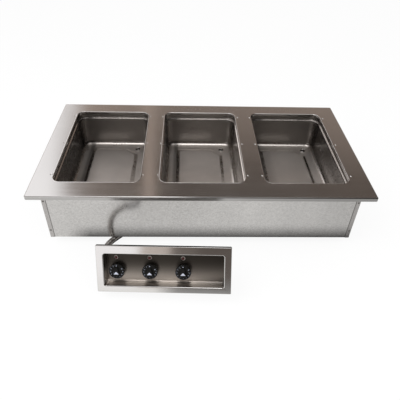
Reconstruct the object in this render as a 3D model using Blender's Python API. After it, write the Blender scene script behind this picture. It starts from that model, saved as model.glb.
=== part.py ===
# Three-well drop-in hot-food unit (steam table) with a remote control box on a flexible conduit.
# Metres, +Z up.  Origin: centre of the casing's underside.
# +X runs along the three wells, +Y to the rear; the control box hangs off the front.
import math
from typing import NamedTuple

import bmesh
import bpy
from mathutils import Matrix, Vector

for old_object in list(bpy.data.objects):
    bpy.data.objects.remove(old_object, do_unlink=True)

# ---------------------------------------------------------------- shared dimensions
GAP = 0.0003                        # assembly gap between neighbouring pieces
DECK_X, DECK_Y = 1.2192, 0.6604
DECK_TOP = 0.2302                   # above the casing's underside
DECK_T = 0.0015
UNDER_DECK = DECK_TOP - DECK_T - GAP    # top of the pieces that meet the deck's underside

WELL_PITCH = 0.381
WELL_X = (-WELL_PITCH, 0.0, WELL_PITCH)
WELL_Y = 0.007
OPEN_HALF_X, OPEN_HALF_Y = 0.154, 0.2525
OPEN_R = 0.028
WELL_T = 0.001
WELL_FLOOR = DECK_TOP - 0.160
WELL_UNDERSIDE = WELL_FLOOR - WELL_T
DRAIN_DX, DRAIN_DY = 0.100, 0.199   # from the well's centre
DRAIN_SPOTS = [(x + DRAIN_DX, WELL_Y + DRAIN_DY) for x in WELL_X]

CASE_INSET = 0.0381                 # casing wall inside the deck edge
CASE_HALF_X, CASE_HALF_Y = DECK_X / 2 - CASE_INSET, DECK_Y / 2 - CASE_INSET
SHEET = 0.001

# 90 degree connectors of the conduit
BEND_R = 0.016
ELBOW_TAIL = 0.012
CONNECTOR_HOLE_R = 0.0113
PAN_OUT = Vector((-0.63, -0.777, 0.0)).normalized()     # heading out of the pan's elbow
PAN_ELBOW = Vector((-0.275, -0.214, 0.0)) - PAN_OUT * (BEND_R + ELBOW_TAIL)


# ---------------------------------------------------------------- materials
class Look(NamedTuple):
    colour: tuple
    metallic: float
    roughness: float


STEEL = Look(colour=(0.62, 0.60, 0.57), metallic=1.0, roughness=0.30)
GALVANISED = Look(colour=(0.60, 0.61, 0.61), metallic=1.0, roughness=0.45)
BLACK = Look(colour=(0.02, 0.02, 0.022), metallic=0.0, roughness=0.35)
RED = Look(colour=(0.35, 0.02, 0.02), metallic=0.0, roughness=0.2)
CHROME = Look(colour=(0.75, 0.75, 0.76), metallic=1.0, roughness=0.12)
BRASS = Look(colour=(0.62, 0.46, 0.20), metallic=1.0, roughness=0.35)
RUBBER = Look(colour=(0.10, 0.10, 0.10), metallic=0.0, roughness=0.7)
GLASSWOOL = Look(colour=(0.80, 0.72, 0.40), metallic=0.0, roughness=0.95)
SHEATH = Look(colour=(0.22, 0.20, 0.19), metallic=1.0, roughness=0.5)
ZINC = Look(colour=(0.55, 0.55, 0.56), metallic=1.0, roughness=0.35)
BEIGE = Look(colour=(0.70, 0.66, 0.56), metallic=0.0, roughness=0.5)
WIRE = Look(colour=(0.06, 0.06, 0.07), metallic=0.0, roughness=0.5)


def make_material(name, look):
    material = bpy.data.materials.new(name)
    material.use_nodes = True
    inputs = material.node_tree.nodes["Principled BSDF"].inputs
    inputs["Base Color"].default_value = (*look.colour, 1.0)
    inputs["Metallic"].default_value = look.metallic
    inputs["Roughness"].default_value = look.roughness
    material.diffuse_color = (*look.colour, 1.0)
    return material


# ---------------------------------------------------------------- loops of points
def rounded_loop(centre_x, centre_y, half_x, half_y, radius, z, segments):
    """Rounded rectangle, counter-clockwise, with a smallest corner radius of 0.4 mm."""
    radius = max(radius, 0.0004)
    in_x, in_y = half_x - radius, half_y - radius
    points = []
    for x, y, start in ((in_x, in_y, 0), (-in_x, in_y, 90), (-in_x, -in_y, 180), (in_x, -in_y, 270)):
        for i in range(segments + 1):
            angle = math.radians(start + 90.0 * i / segments)
            points.append(Vector((centre_x + x + radius * math.cos(angle),
                                  centre_y + y + radius * math.sin(angle), z)))
    return points


def rectangle(x0, y0, x1, y1, z):
    return [Vector((x, y, z)) for x, y in ((x0, y0), (x1, y0), (x1, y1), (x0, y1))]


def circle(centre_x, centre_y, radius, z, sides):
    return [Vector((centre_x + radius * math.cos(2 * math.pi * i / sides),
                    centre_y + radius * math.sin(2 * math.pi * i / sides), z))
            for i in range(sides)]


def round_over(edge_radius, radius, degrees):
    """(inset, height) arc about the centre of a deck edge; 0 is on top, 90 at the side."""
    return [(edge_radius - radius * math.sin(math.radians(angle)),
             DECK_TOP - edge_radius + radius * math.cos(math.radians(angle)))
            for angle in degrees]


def offset_profile(points, distance):
    """Shift an open polyline to its right-hand side, with mitred corners."""
    normals = []
    for start, end in zip(points[:-1], points[1:]):
        along = Vector((end[0] - start[0], end[1] - start[1])).normalized()
        normals.append(Vector((along.y, -along.x)))
    shifted = []
    for i, point in enumerate(points):
        nearby = normals[max(i - 1, 0):i + 1]
        normal = sum(nearby, Vector((0, 0))).normalized()
        reach = distance / max(0.5, normal.dot(nearby[-1]))
        shifted.append((point[0] + normal.x * reach, point[1] + normal.y * reach))
    return shifted


def hermite(points, start_direction, end_direction, steps):
    """Smooth curve through the points with set end directions."""
    tangents = [start_direction.normalized() * (points[1] - points[0]).length]
    tangents += [(after - before) * 0.5 for before, after in zip(points[:-2], points[2:])]
    tangents.append(end_direction.normalized() * (points[-1] - points[-2]).length)
    curve = []
    for i in range(len(points) - 1):
        for step in range(steps):
            u = step / steps
            curve.append(points[i] * (2 * u ** 3 - 3 * u ** 2 + 1)
                         + tangents[i] * (u ** 3 - 2 * u ** 2 + u)
                         + points[i + 1] * (-2 * u ** 3 + 3 * u ** 2)
                         + tangents[i + 1] * (u ** 3 - u ** 2))
    curve.append(points[-1].copy())
    return curve


# ---------------------------------------------------------------- mesh helpers
def ring(mesh, points):
    return [mesh.verts.new(point) for point in points]


def bridge(mesh, ring_a, ring_b):
    count = len(ring_a)
    for i in range(count):
        j = (i + 1) % count
        mesh.faces.new((ring_a[i], ring_a[j], ring_b[j], ring_b[i]))


def chain(mesh, rings):
    for ring_a, ring_b in zip(rings[:-1], rings[1:]):
        bridge(mesh, ring_a, ring_b)


def stack(mesh, loops, closed=False):
    """Skin a series of loops; a closed series also joins the last to the first."""
    rings = [ring(mesh, loop) for loop in loops]
    chain(mesh, rings)
    if closed:
        bridge(mesh, rings[-1], rings[0])
    return rings


def fill(mesh, *rings):
    """Fill a flat region; rings inside the first are holes."""
    edges = []
    for loop in rings:
        for i, vert in enumerate(loop):
            pair = (vert, loop[(i + 1) % len(loop)])
            edges.append(mesh.edges.get(pair) or mesh.edges.new(pair))
    bmesh.ops.triangle_fill(mesh, use_beauty=True, use_dissolve=False, edges=edges)


def finish(mesh, name, look, matrix=None, angle=32.0):
    """Turn the mesh into a named object, with edges steeper than the angle kept sharp."""
    bmesh.ops.remove_doubles(mesh, verts=mesh.verts, dist=0.000001)
    bmesh.ops.recalc_face_normals(mesh, faces=mesh.faces)
    data = bpy.data.meshes.new(name)
    mesh.to_mesh(data)
    mesh.free()
    data.shade_smooth()
    data.set_sharp_from_angle(angle=math.radians(angle))
    data.materials.append(make_material(name + "_mat", look))
    piece = bpy.data.objects.new(name, data)
    bpy.context.scene.collection.objects.link(piece)
    if matrix is not None:
        piece.matrix_world = matrix
    return piece


def lathe(name, profile, look, matrix, sides, closed=True, angle=32.0):
    """Turn (radius, height) points about local Z.

    A closed profile is a ring section; an open one starts and ends on the axis.
    """
    mesh = bmesh.new()
    rings = []
    for radius, z in profile:
        on_axis = radius < 1e-7
        rings.append(ring(mesh, [(0, 0, z)] if on_axis else circle(0, 0, radius, z, sides)))
    pairs = list(zip(rings[:-1], rings[1:]))
    if closed:
        pairs.append((rings[-1], rings[0]))
    for ring_a, ring_b in pairs:
        tip, rim = sorted((ring_a, ring_b), key=len)
        if len(tip) == 1:
            for i in range(sides):
                mesh.faces.new((tip[0], rim[i], rim[(i + 1) % sides]))
        else:
            bridge(mesh, ring_a, ring_b)
    return finish(mesh, name, look, matrix, angle)


def extrude(name, outline, start, end, look, place, matrix=None):
    """Sweep a closed outline straight; place(u, v, station) gives each point."""
    mesh = bmesh.new()
    ends = stack(mesh, [[place(u, v, station) for u, v in outline] for station in (start, end)])
    for cap in ends:
        fill(mesh, cap)
    return finish(mesh, name, look, matrix)


def sweep(mesh, path, radii, sides):
    """Skin circles carried along a path without twist."""
    along = (path[1] - path[0]).normalized()
    reference = Vector((0, 0, 1)) if abs(along.z) < 0.9 else Vector((1, 0, 0))
    across = along.cross(reference).normalized()
    loops = []
    for i, (point, radius) in enumerate(zip(path, radii)):
        along = (path[min(i + 1, len(path) - 1)] - path[max(i - 1, 0)]).normalized()
        across = (across - along * across.dot(along)).normalized()
        other = along.cross(across)
        turns = [2 * math.pi * k / sides for k in range(sides)]
        loops.append([point + (across * math.cos(turn) + other * math.sin(turn)) * radius
                      for turn in turns])
    return stack(mesh, loops)


def rod(name, path, radius, look, sides):
    mesh = bmesh.new()
    rings = sweep(mesh, path, [radius] * len(path), sides)
    fill(mesh, rings[0])
    fill(mesh, rings[-1])
    return finish(mesh, name, look, angle=50.0)


def tube(name, outer_path, outer_radii, inner_path, inner_radii, look, sides, angle):
    mesh = bmesh.new()
    outer = sweep(mesh, outer_path, outer_radii, sides)
    inner = sweep(mesh, inner_path, inner_radii, sides)
    bridge(mesh, outer[0], inner[0])
    bridge(mesh, outer[-1], inner[-1])
    return finish(mesh, name, look, angle=angle)


def drill(piece, centres, direction, radius, length):
    """Cut straight round holes at world positions, and keep the result as plain mesh."""
    turn = Vector(direction).to_track_quat("Z", "Y").to_matrix().to_4x4()
    for centre in centres:
        mesh = bmesh.new()
        bmesh.ops.create_cone(mesh, cap_ends=True, cap_tris=False, segments=12,
                              radius1=radius, radius2=radius, depth=length,
                              matrix=Matrix.Translation(Vector(centre)) @ turn)
        data = bpy.data.meshes.new("hole_cutter")
        mesh.to_mesh(data)
        mesh.free()
        cutter = bpy.data.objects.new("hole_cutter", data)
        bpy.context.scene.collection.objects.link(cutter)
        modifier = piece.modifiers.new("hole", "BOOLEAN")
        modifier.operation = "DIFFERENCE"
        modifier.solver = "EXACT"
        modifier.object = cutter
        depsgraph = bpy.context.evaluated_depsgraph_get()
        drilled = bpy.data.meshes.new_from_object(piece.evaluated_get(depsgraph))
        piece.modifiers.remove(modifier)
        piece.data = drilled
        bpy.data.objects.remove(cutter, do_unlink=True)


# ---------------------------------------------------------------- deck
DECK_EDGE_R = 0.004                 # round-over of the deck edge
DECK_CORNER_R = 0.006               # in plan
LIP_BOTTOM = DECK_TOP - 0.0159      # of the turned-down lip
LIP_RETURN = 0.012
MOUTH_EDGE_R, MOUTH_INNER_R = 0.0028, 0.0013    # bend into each well opening
MOUTH_BOTTOM = DECK_TOP - 0.0098


def build_deck():
    mesh = bmesh.new()
    # (inset, height) from the top face, round the lip and back to the underside
    edge = round_over(DECK_EDGE_R, DECK_EDGE_R, (0, 22.5, 45, 67.5, 90))
    edge += [(0, LIP_BOTTOM + 0.0008), (0.0008, LIP_BOTTOM), (LIP_RETURN, LIP_BOTTOM),
             (LIP_RETURN, LIP_BOTTOM + DECK_T), (DECK_T, LIP_BOTTOM + DECK_T)]
    edge += round_over(DECK_EDGE_R, DECK_EDGE_R - DECK_T, (90, 60, 30, 0))
    rings = stack(mesh, [rounded_loop(0, 0, DECK_X / 2 - inset, DECK_Y / 2 - inset,
                                      DECK_CORNER_R - inset, z, 2) for inset, z in edge])
    tops, undersides = [rings[0]], [rings[-1]]

    # (growth of the opening, height), again from top to underside
    mouth = round_over(MOUTH_EDGE_R, MOUTH_EDGE_R, (0, 30, 60, 90))
    mouth += [(0, MOUTH_BOTTOM), (DECK_T, MOUTH_BOTTOM)]
    mouth += round_over(MOUTH_EDGE_R, MOUTH_INNER_R, (90, 45, 0))
    for well_x in WELL_X:
        rings = stack(mesh, [rounded_loop(well_x, WELL_Y, OPEN_HALF_X + grow, OPEN_HALF_Y + grow,
                                          OPEN_R + grow, z, 4) for grow, z in mouth])
        tops.append(rings[0])
        undersides.append(rings[-1])
    fill(mesh, *tops)
    fill(mesh, *undersides)
    finish(mesh, "top_plate", STEEL)


# ---------------------------------------------------------------- wells
# (growth of the deck opening, height) down the inside of a well's rim and wall
WELL_RIM = [
    (0.0180, UNDER_DECK), (0.0085, UNDER_DECK), (0.0066, UNDER_DECK - 0.0010),
    (0.0058, UNDER_DECK - 0.003), (0.0058, DECK_TOP - 0.0265), (0.0050, DECK_TOP - 0.0290),
    (0.0030, DECK_TOP - 0.0310), (0.0006, DECK_TOP - 0.0325), (-0.0010, DECK_TOP - 0.0345),
    (-0.0015, DECK_TOP - 0.0375),
]
WELL_FOOT_GROW = -0.0035            # wall position where the floor bend starts
FLOOR_BEND_R = 0.020
WELL_CORNER_R = OPEN_R + 0.006
PLATFORM_HALF_X, PLATFORM_HALF_Y = 0.105, 0.2035    # raised part of the floor, at its foot
PLATFORM_SLOPE = 0.018              # how far its sides lean in
PLATFORM_H = 0.006
PLATFORM_R = 0.012
PLATFORM_CUT_X, PLATFORM_CUT_Y = 0.048, 0.046       # diagonal at its rear right corner
PLATFORM_CUT_SHRINK = 0.006
DRAIN_HOLE_R = 0.0101


def platform_loop(centre_x, half_x, half_y, cut_x, cut_y, z):
    """Rectangle with its rear right corner taken off by a diagonal, corners rounded."""
    corners = [Vector((half_x, -half_y)), Vector((half_x, half_y - cut_y)),
               Vector((half_x - cut_x, half_y)), Vector((-half_x, half_y)),
               Vector((-half_x, -half_y))]
    points = []
    for i, corner in enumerate(corners):
        before = (corners[i - 1] - corner).normalized()
        after = (corners[(i + 1) % len(corners)] - corner).normalized()
        half_angle = math.acos(before.dot(after)) / 2
        setback = PLATFORM_R / math.tan(half_angle)
        to_centre = (before + after).normalized() * (PLATFORM_R / math.sin(half_angle))
        start, end = before * setback - to_centre, after * setback - to_centre
        for k in range(3):
            spoke = start.lerp(end, k / 2).normalized() * PLATFORM_R
            point = corner + to_centre + spoke
            points.append(Vector((centre_x + point.x, WELL_Y + point.y, z)))
    return points


def build_well(number, well_x):
    mesh = bmesh.new()
    inner = list(WELL_RIM)
    for angle in (math.radians(degrees) for degrees in (0, 22.5, 45, 67.5, 90)):
        inner.append((WELL_FOOT_GROW - FLOOR_BEND_R + FLOOR_BEND_R * math.cos(angle),
                      WELL_FLOOR + FLOOR_BEND_R - FLOOR_BEND_R * math.sin(angle)))
    outer = offset_profile(inner, -WELL_T)
    outer = ([(inner[0][0], inner[0][1] - WELL_T)] + outer[1:-1]
             + [(inner[-1][0], WELL_UNDERSIDE)])
    skins = [stack(mesh, [rounded_loop(well_x, WELL_Y, OPEN_HALF_X + grow, OPEN_HALF_Y + grow,
                                       WELL_CORNER_R + grow, z, 4) for grow, z in profile])
             for profile in (inner, outer)]
    bridge(mesh, skins[0][0], skins[1][0])

    # floor with its platform and drain hole, once for each side of the sheet
    drains = []
    for skin, floor, shrink in zip(skins, (WELL_FLOOR, WELL_UNDERSIDE), (0.0, 0.0004)):
        platform = stack(mesh, [
            platform_loop(well_x, PLATFORM_HALF_X - PLATFORM_SLOPE * part - shrink,
                          PLATFORM_HALF_Y - PLATFORM_SLOPE * part - shrink,
                          PLATFORM_CUT_X - PLATFORM_CUT_SHRINK * part,
                          PLATFORM_CUT_Y - PLATFORM_CUT_SHRINK * part, floor + PLATFORM_H * part)
            for part in (0.0, 0.5, 1.0)])
        fill(mesh, platform[-1])
        drain = ring(mesh, circle(well_x + DRAIN_DX, WELL_Y + DRAIN_DY, DRAIN_HOLE_R, floor, 18))
        fill(mesh, skin[-1], platform[0], drain)
        drains.append(drain)
    bridge(mesh, *drains)
    finish(mesh, "well_%d" % number, STEEL, angle=40)


# ---------------------------------------------------------------- drains
GASKET_TOP = WELL_UNDERSIDE - GAP
GASKET_BOTTOM = GASKET_TOP - 0.002
DRAIN_NUT_TOP = GASKET_BOTTOM - GAP
DRAIN_NUT_BOTTOM = DRAIN_NUT_TOP - 0.008
DRAIN_NUT_R = 0.0185                # across corners
DRAIN_NUT_BORE_R = 0.0100
DRAIN_PIPE_BOTTOM = 0.004


def hexagon(radius, z, sides=24):
    """Hexagon drawn with several points along each flat."""
    points = []
    for i in range(sides):
        angle = 2 * math.pi * i / sides
        off_middle = (angle % (math.pi / 3)) - math.pi / 6
        reach = radius * math.cos(math.pi / 6) / math.cos(off_middle)
        points.append(Vector((reach * math.cos(angle), reach * math.sin(angle), z)))
    return points


def build_drain(number, spot):
    place = Matrix.Translation((*spot, 0))
    seat = WELL_FLOOR + GAP
    lathe("drain_fitting_%d" % number,
          [(0.0070, seat + 0.0024), (0.0086, seat + 0.0032), (0.0106, seat + 0.0028),
           (0.0122, seat + 0.0012), (0.0126, seat), (0.0096, seat),
           (0.0096, DRAIN_PIPE_BOTTOM), (0.0070, DRAIN_PIPE_BOTTOM)],
          STEEL, place, sides=18, angle=45)
    lathe("drain_gasket_%d" % number,
          [(0.0100, GASKET_TOP), (0.0165, GASKET_TOP),
           (0.0165, GASKET_BOTTOM), (0.0100, GASKET_BOTTOM)], RUBBER, place, sides=16)
    mesh = bmesh.new()
    stack(mesh, [hexagon(DRAIN_NUT_R, DRAIN_NUT_TOP), hexagon(DRAIN_NUT_R, DRAIN_NUT_BOTTOM),
                 circle(0, 0, DRAIN_NUT_BORE_R, DRAIN_NUT_BOTTOM, 24),
                 circle(0, 0, DRAIN_NUT_BORE_R, DRAIN_NUT_TOP, 24)], closed=True)
    finish(mesh, "drain_nut_%d" % number, BRASS, place)


# ---------------------------------------------------------------- casing
END_FLANGE = 0.015                  # laps over the front and rear faces
END_BEVEL = 0.001
TOP_RETURN = 0.010
PANEL_FACE_Y = CASE_HALF_Y - SHEET - GAP    # outer face of the front and rear panels
PANEL_HALF_X = CASE_HALF_X - SHEET - GAP
PAN_HALF_Y = CASE_HALF_Y - 2 * SHEET - 2 * GAP
PAN_EDGE_H = 0.014
PAN_CORNER_R = 0.0025
DRAIN_CLEARANCE_R = 0.016
RIVET_X = CASE_HALF_X - 0.0072
RIVET_HOLE_R, RIVET_DRILL_LENGTH = 0.0021, 0.008
RIVETS = ((-1, 0.176), (-1, 0.036), (1, 0.176), (1, 0.036))     # (side in X, height)


def rivet_spots(face_y, sides=(-1, 1)):
    return [(side * RIVET_X, face_y, z) for side, z in RIVETS if side in sides]


def build_end_panel(name, side):
    """Web with flanges turned along the front and rear faces; outline in plan."""
    flange, web = CASE_HALF_X - END_FLANGE, CASE_HALF_X - SHEET
    bevel_x, bevel_y = CASE_HALF_X - END_BEVEL, CASE_HALF_Y - END_BEVEL
    inner_y = CASE_HALF_Y - SHEET
    outline = [(flange, CASE_HALF_Y), (bevel_x, CASE_HALF_Y), (CASE_HALF_X, bevel_y),
               (CASE_HALF_X, -bevel_y), (bevel_x, -CASE_HALF_Y), (flange, -CASE_HALF_Y),
               (flange, -inner_y), (web, -inner_y), (web, inner_y), (flange, inner_y)]
    panel = extrude(name, outline, 0.0, UNDER_DECK, GALVANISED,
                    lambda x, y, z: Vector((side * x, y, z)))
    spots = rivet_spots(-CASE_HALF_Y, (side,)) + rivet_spots(CASE_HALF_Y, (side,))
    drill(panel, spots, (0, 1, 0), RIVET_HOLE_R, RIVET_DRILL_LENGTH)


def build_long_panel(name, side):
    """Full-height front or rear sheet with a return along the top; outline from the end."""
    inner_y, return_y = PANEL_FACE_Y - SHEET, PANEL_FACE_Y - TOP_RETURN
    outline = [(PANEL_FACE_Y, 0.0), (PANEL_FACE_Y, UNDER_DECK), (return_y, UNDER_DECK),
               (return_y, UNDER_DECK - SHEET), (inner_y, UNDER_DECK - SHEET), (inner_y, 0.0)]
    panel = extrude(name, outline, -PANEL_HALF_X, PANEL_HALF_X, GALVANISED,
                    lambda y, z, x: Vector((x, side * y, z)))
    drill(panel, rivet_spots(side * PANEL_FACE_Y), (0, 1, 0), RIVET_HOLE_R, RIVET_DRILL_LENGTH)


def pierce(mesh, lower, upper, holes, z0, z1, sides):
    """Wall round holes (x, y, radius) and close the faces around them."""
    lowers, uppers = [lower], [upper]
    for x, y, radius in holes:
        rings = stack(mesh, [circle(x, y, radius, z, sides) for z in (z0, z1)])
        lowers.append(rings[0])
        uppers.append(rings[1])
    return lowers, uppers


def build_bottom_pan():
    mesh = bmesh.new()
    # (inset, height) round the upturned edge
    edge = [(0.0, 0.0), (0.0, PAN_EDGE_H), (SHEET, PAN_EDGE_H), (SHEET, SHEET)]
    rings = stack(mesh, [rounded_loop(0, 0, PANEL_HALF_X - inset, PAN_HALF_Y - inset,
                                      PAN_CORNER_R - inset, z, 3) for inset, z in edge])
    holes = [(*spot, DRAIN_CLEARANCE_R) for spot in DRAIN_SPOTS]
    holes.append((PAN_ELBOW.x, PAN_ELBOW.y, CONNECTOR_HOLE_R))
    lowers, uppers = pierce(mesh, rings[0], rings[-1], holes, 0.0, SHEET, 16)
    # plain rest area in the middle of the underside, kept as its own flat region
    rest = ring(mesh, rectangle(-0.19, -0.15, 0.50, 0.15, 0))
    fill(mesh, *lowers, rest)
    mesh.faces.new(rest)
    fill(mesh, *uppers)
    finish(mesh, "casing_bottom_pan", GALVANISED)


def build_rivets():
    # domed head, then shank: (radius, height above the flange)
    profile = [(0, 0.0015), (0.0016, 0.00135), (0.0028, 0.0009), (0.0034, 0.0),
               (0.0018, 0.0), (0.0018, -0.0036), (0, -0.0036)]
    stand_off = 0.00005
    spots = [(side, spot) for side in (-1, 1)
             for spot in rivet_spots(side * (CASE_HALF_Y + stand_off))]
    for number, (side, spot) in enumerate(spots, 1):
        place = Matrix.Translation(spot) @ Matrix.Rotation(math.radians(-90 * side), 4, "X")
        lathe("rivet_%d" % number, profile, STEEL, place, sides=10, closed=False, angle=45)


def build_casing():
    build_end_panel("casing_end_left", -1)
    build_end_panel("casing_end_right", 1)
    build_long_panel("casing_front", -1)
    build_long_panel("casing_rear", 1)
    build_bottom_pan()
    build_rivets()


# ---------------------------------------------------------------- insulation
WOOL_HALF_X = CASE_HALF_X - SHEET - 0.0015
WOOL_HALF_Y = CASE_HALF_Y - 2 * SHEET - 0.0022
WOOL_CORNER_R = 0.012
WOOL_EDGE = 0.003                   # height of the softened edges
WELL_CLEARANCE = 0.004
WRAP_Z = (0.0285, 0.190)
WOOL_BASE_Z = (SHEET + 0.0006, 0.0270)
WOOL_HOLE_R = 0.022


def wool_loops(z0, z1, edge_inset):
    stations = ((edge_inset, z0), (0, z0 + WOOL_EDGE), (0, z1 - WOOL_EDGE), (edge_inset, z1))
    return [rounded_loop(0, 0, WOOL_HALF_X - inset, WOOL_HALF_Y - inset, WOOL_CORNER_R, z, 3)
            for inset, z in stations]


def build_insulation_wrap():
    """One band of wool round all three wells."""
    half_x, half_y = WELL_PITCH + OPEN_HALF_X + WELL_CLEARANCE, OPEN_HALF_Y + WELL_CLEARANCE
    z0, z1 = WRAP_Z
    inside = [rounded_loop(0, WELL_Y, half_x + grow, half_y + grow, WOOL_CORNER_R, z, 3)
              for grow, z in ((0.002, z1), (0, z1 - WOOL_EDGE), (0, z0 + WOOL_EDGE), (0.002, z0))]
    mesh = bmesh.new()
    stack(mesh, wool_loops(z0, z1, 0.003) + inside, closed=True)
    finish(mesh, "insulation_wrap", GLASSWOOL)


def build_insulation_bottom():
    mesh = bmesh.new()
    rings = stack(mesh, wool_loops(*WOOL_BASE_Z, 0.002))
    holes = [(x, y, WOOL_HOLE_R) for x, y in DRAIN_SPOTS + [(PAN_ELBOW.x, PAN_ELBOW.y)]]
    for rings_at_level in pierce(mesh, rings[0], rings[-1], holes, *WOOL_BASE_Z, 14):
        fill(mesh, *rings_at_level)
    finish(mesh, "insulation_bottom", GLASSWOOL)


# ---------------------------------------------------------------- heating
ELEMENT_R = 0.0040
ELEMENT_Z = WELL_UNDERSIDE - 0.0009 - ELEMENT_R
ELEMENT_PITCH = 0.044               # between the four legs
ELEMENT_END_Y = -0.205              # front ends, from the well's centre
ELEMENT_BEND_Y = 0.160              # bend centres, rear and front
STRAP_HALF_X, STRAP_HALF_Y = 0.095, 0.011
STRAP_FOOT, STRAP_T = 0.012, 0.0015
STRAP_TOP = WELL_UNDERSIDE - 0.0005
STRAP_SEAT = ELEMENT_Z - ELEMENT_R - 0.0006


def build_element(number, well_x):
    """Four-legged serpentine; its bends are at the rear, the front and the rear again."""
    legs = [(i - 1.5) * ELEMENT_PITCH for i in range(4)]
    bend_r = ELEMENT_PITCH / 2
    flat_path = [(legs[0], ELEMENT_END_Y), (legs[0], 0)]
    for leg, side in zip(legs[:-1], (1, -1, 1)):
        for i in range(7):
            angle = math.radians(180 - side * 30 * i)
            flat_path.append((leg + bend_r + bend_r * math.cos(angle),
                              side * ELEMENT_BEND_Y + bend_r * math.sin(angle)))
    flat_path += [(legs[-1], 0), (legs[-1], ELEMENT_END_Y)]
    path = [Vector((well_x + x, WELL_Y + y, ELEMENT_Z)) for x, y in flat_path]
    rod("heating_element_%d" % number, path, ELEMENT_R, SHEATH, sides=8)


def build_strap(number, well_x):
    """Shallow channel under the element, with a foot at each end."""
    foot, outer = STRAP_HALF_X + STRAP_FOOT, STRAP_HALF_X + STRAP_T
    foot_z, bottom = STRAP_TOP - STRAP_T, STRAP_SEAT - STRAP_T
    outline = [(-foot, STRAP_TOP), (-STRAP_HALF_X, STRAP_TOP), (-STRAP_HALF_X, STRAP_SEAT),
               (STRAP_HALF_X, STRAP_SEAT), (STRAP_HALF_X, STRAP_TOP), (foot, STRAP_TOP),
               (foot, foot_z), (outer, foot_z), (outer, bottom),
               (-outer, bottom), (-outer, foot_z), (-foot, foot_z)]
    extrude("element_strap_%d" % number, outline, WELL_Y - STRAP_HALF_Y, WELL_Y + STRAP_HALF_Y,
            ZINC, lambda x, z, y: Vector((well_x + x, y, z)))


# ---------------------------------------------------------------- remote control box
# Local frame: X to the right along the bezel, Y = depth behind its face, Z up the bezel.
BEZEL_CENTRE = Vector((-0.133, -0.5304, 0.0821))
BEZEL_NORMAL = Vector((-0.076, -0.901, 0.428)).normalized()
BEZEL_RIGHT = Vector((0.997, -0.061, 0.042))    # made square to the normal below
BEZEL_HALF_X, BEZEL_HALF_Z = 0.4445 / 2, 0.1636 / 2
BEZEL_T = 0.0012
BEZEL_UP = 0.0033                   # plate centre above the tray centre
BEZEL_RETURN = 0.012
BEZEL_CORNER_R = 0.0030
TRAY_HALF_X, TRAY_HALF_Z = 0.1980, 0.0565
TRAY_DEPTH = 0.040
TRAY_CORNER_R = 0.006
TRAY_LIP_R = 0.003                  # bend from the face into the tray
TRAY_BEND_R = 0.008                 # bend from the walls to the tray floor
TRAY_WALL_GROW = -0.0004
BEHIND_TRAY = TRAY_DEPTH + BEZEL_T + GAP
KNOB_X, KNOB_Z = (-0.1606, -0.0490, 0.0626), -0.0137
LAMP_X, LAMP_Z = (-0.1641, -0.0510, 0.0616), 0.0303
BUSHING_HOLE_R, LAMP_HOLE_R = 0.0052, 0.0062
COVER_HALF_X, COVER_HALF_Z, COVER_DEPTH = 0.182, 0.048, 0.074
COVER_T = 0.001
STUD_X = COVER_HALF_X + 0.0045
STUD_R, STUD_LENGTH = 0.0019, 0.0085
BOX_ELBOW_X = -0.130


def box_matrix():
    right = (BEZEL_RIGHT - BEZEL_NORMAL * BEZEL_RIGHT.dot(BEZEL_NORMAL)).normalized()
    axes = Matrix((right, -BEZEL_NORMAL, BEZEL_NORMAL.cross(right))).transposed()
    return Matrix.Translation(BEZEL_CENTRE) @ axes.to_4x4()


BOX_MATRIX = box_matrix()


def upright(points):
    """Stand a loop drawn in X/Y up in the panel's plane; its height becomes the depth."""
    return [Vector((point.x, point.z, point.y)) for point in points]


def on_panel(x, z, depth=0.0):
    """Frame whose +Z points out of the panel toward the cook and +Y up the panel."""
    turn = Matrix.Rotation(math.radians(90), 4, "X")
    return BOX_MATRIX @ Matrix.Translation((x, depth, z)) @ turn


def tray_loop(grow_x, grow_z, depth, radius):
    return upright(rounded_loop(0, 0, TRAY_HALF_X + grow_x, TRAY_HALF_Z + grow_z,
                                radius, depth, 3))


def tray_mouth(stations):
    """Loops for (growth, depth) stations near the tray's mouth."""
    return [tray_loop(grow, grow, depth, TRAY_CORNER_R + grow) for grow, depth in stations]


def tray_bend(radius, end_grows):
    """Soft bend above and below; the ends, given by end_grows, are let in nearly square."""
    loops = []
    for degrees, grow_x in zip((30, 60, 90), end_grows):
        angle = math.radians(degrees)
        grow_z = TRAY_WALL_GROW - TRAY_BEND_R + radius * math.cos(angle)
        depth = TRAY_DEPTH - TRAY_BEND_R + radius * math.sin(angle)
        loops.append(tray_loop(grow_x, grow_z, depth, 0.004))
    return loops


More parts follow.
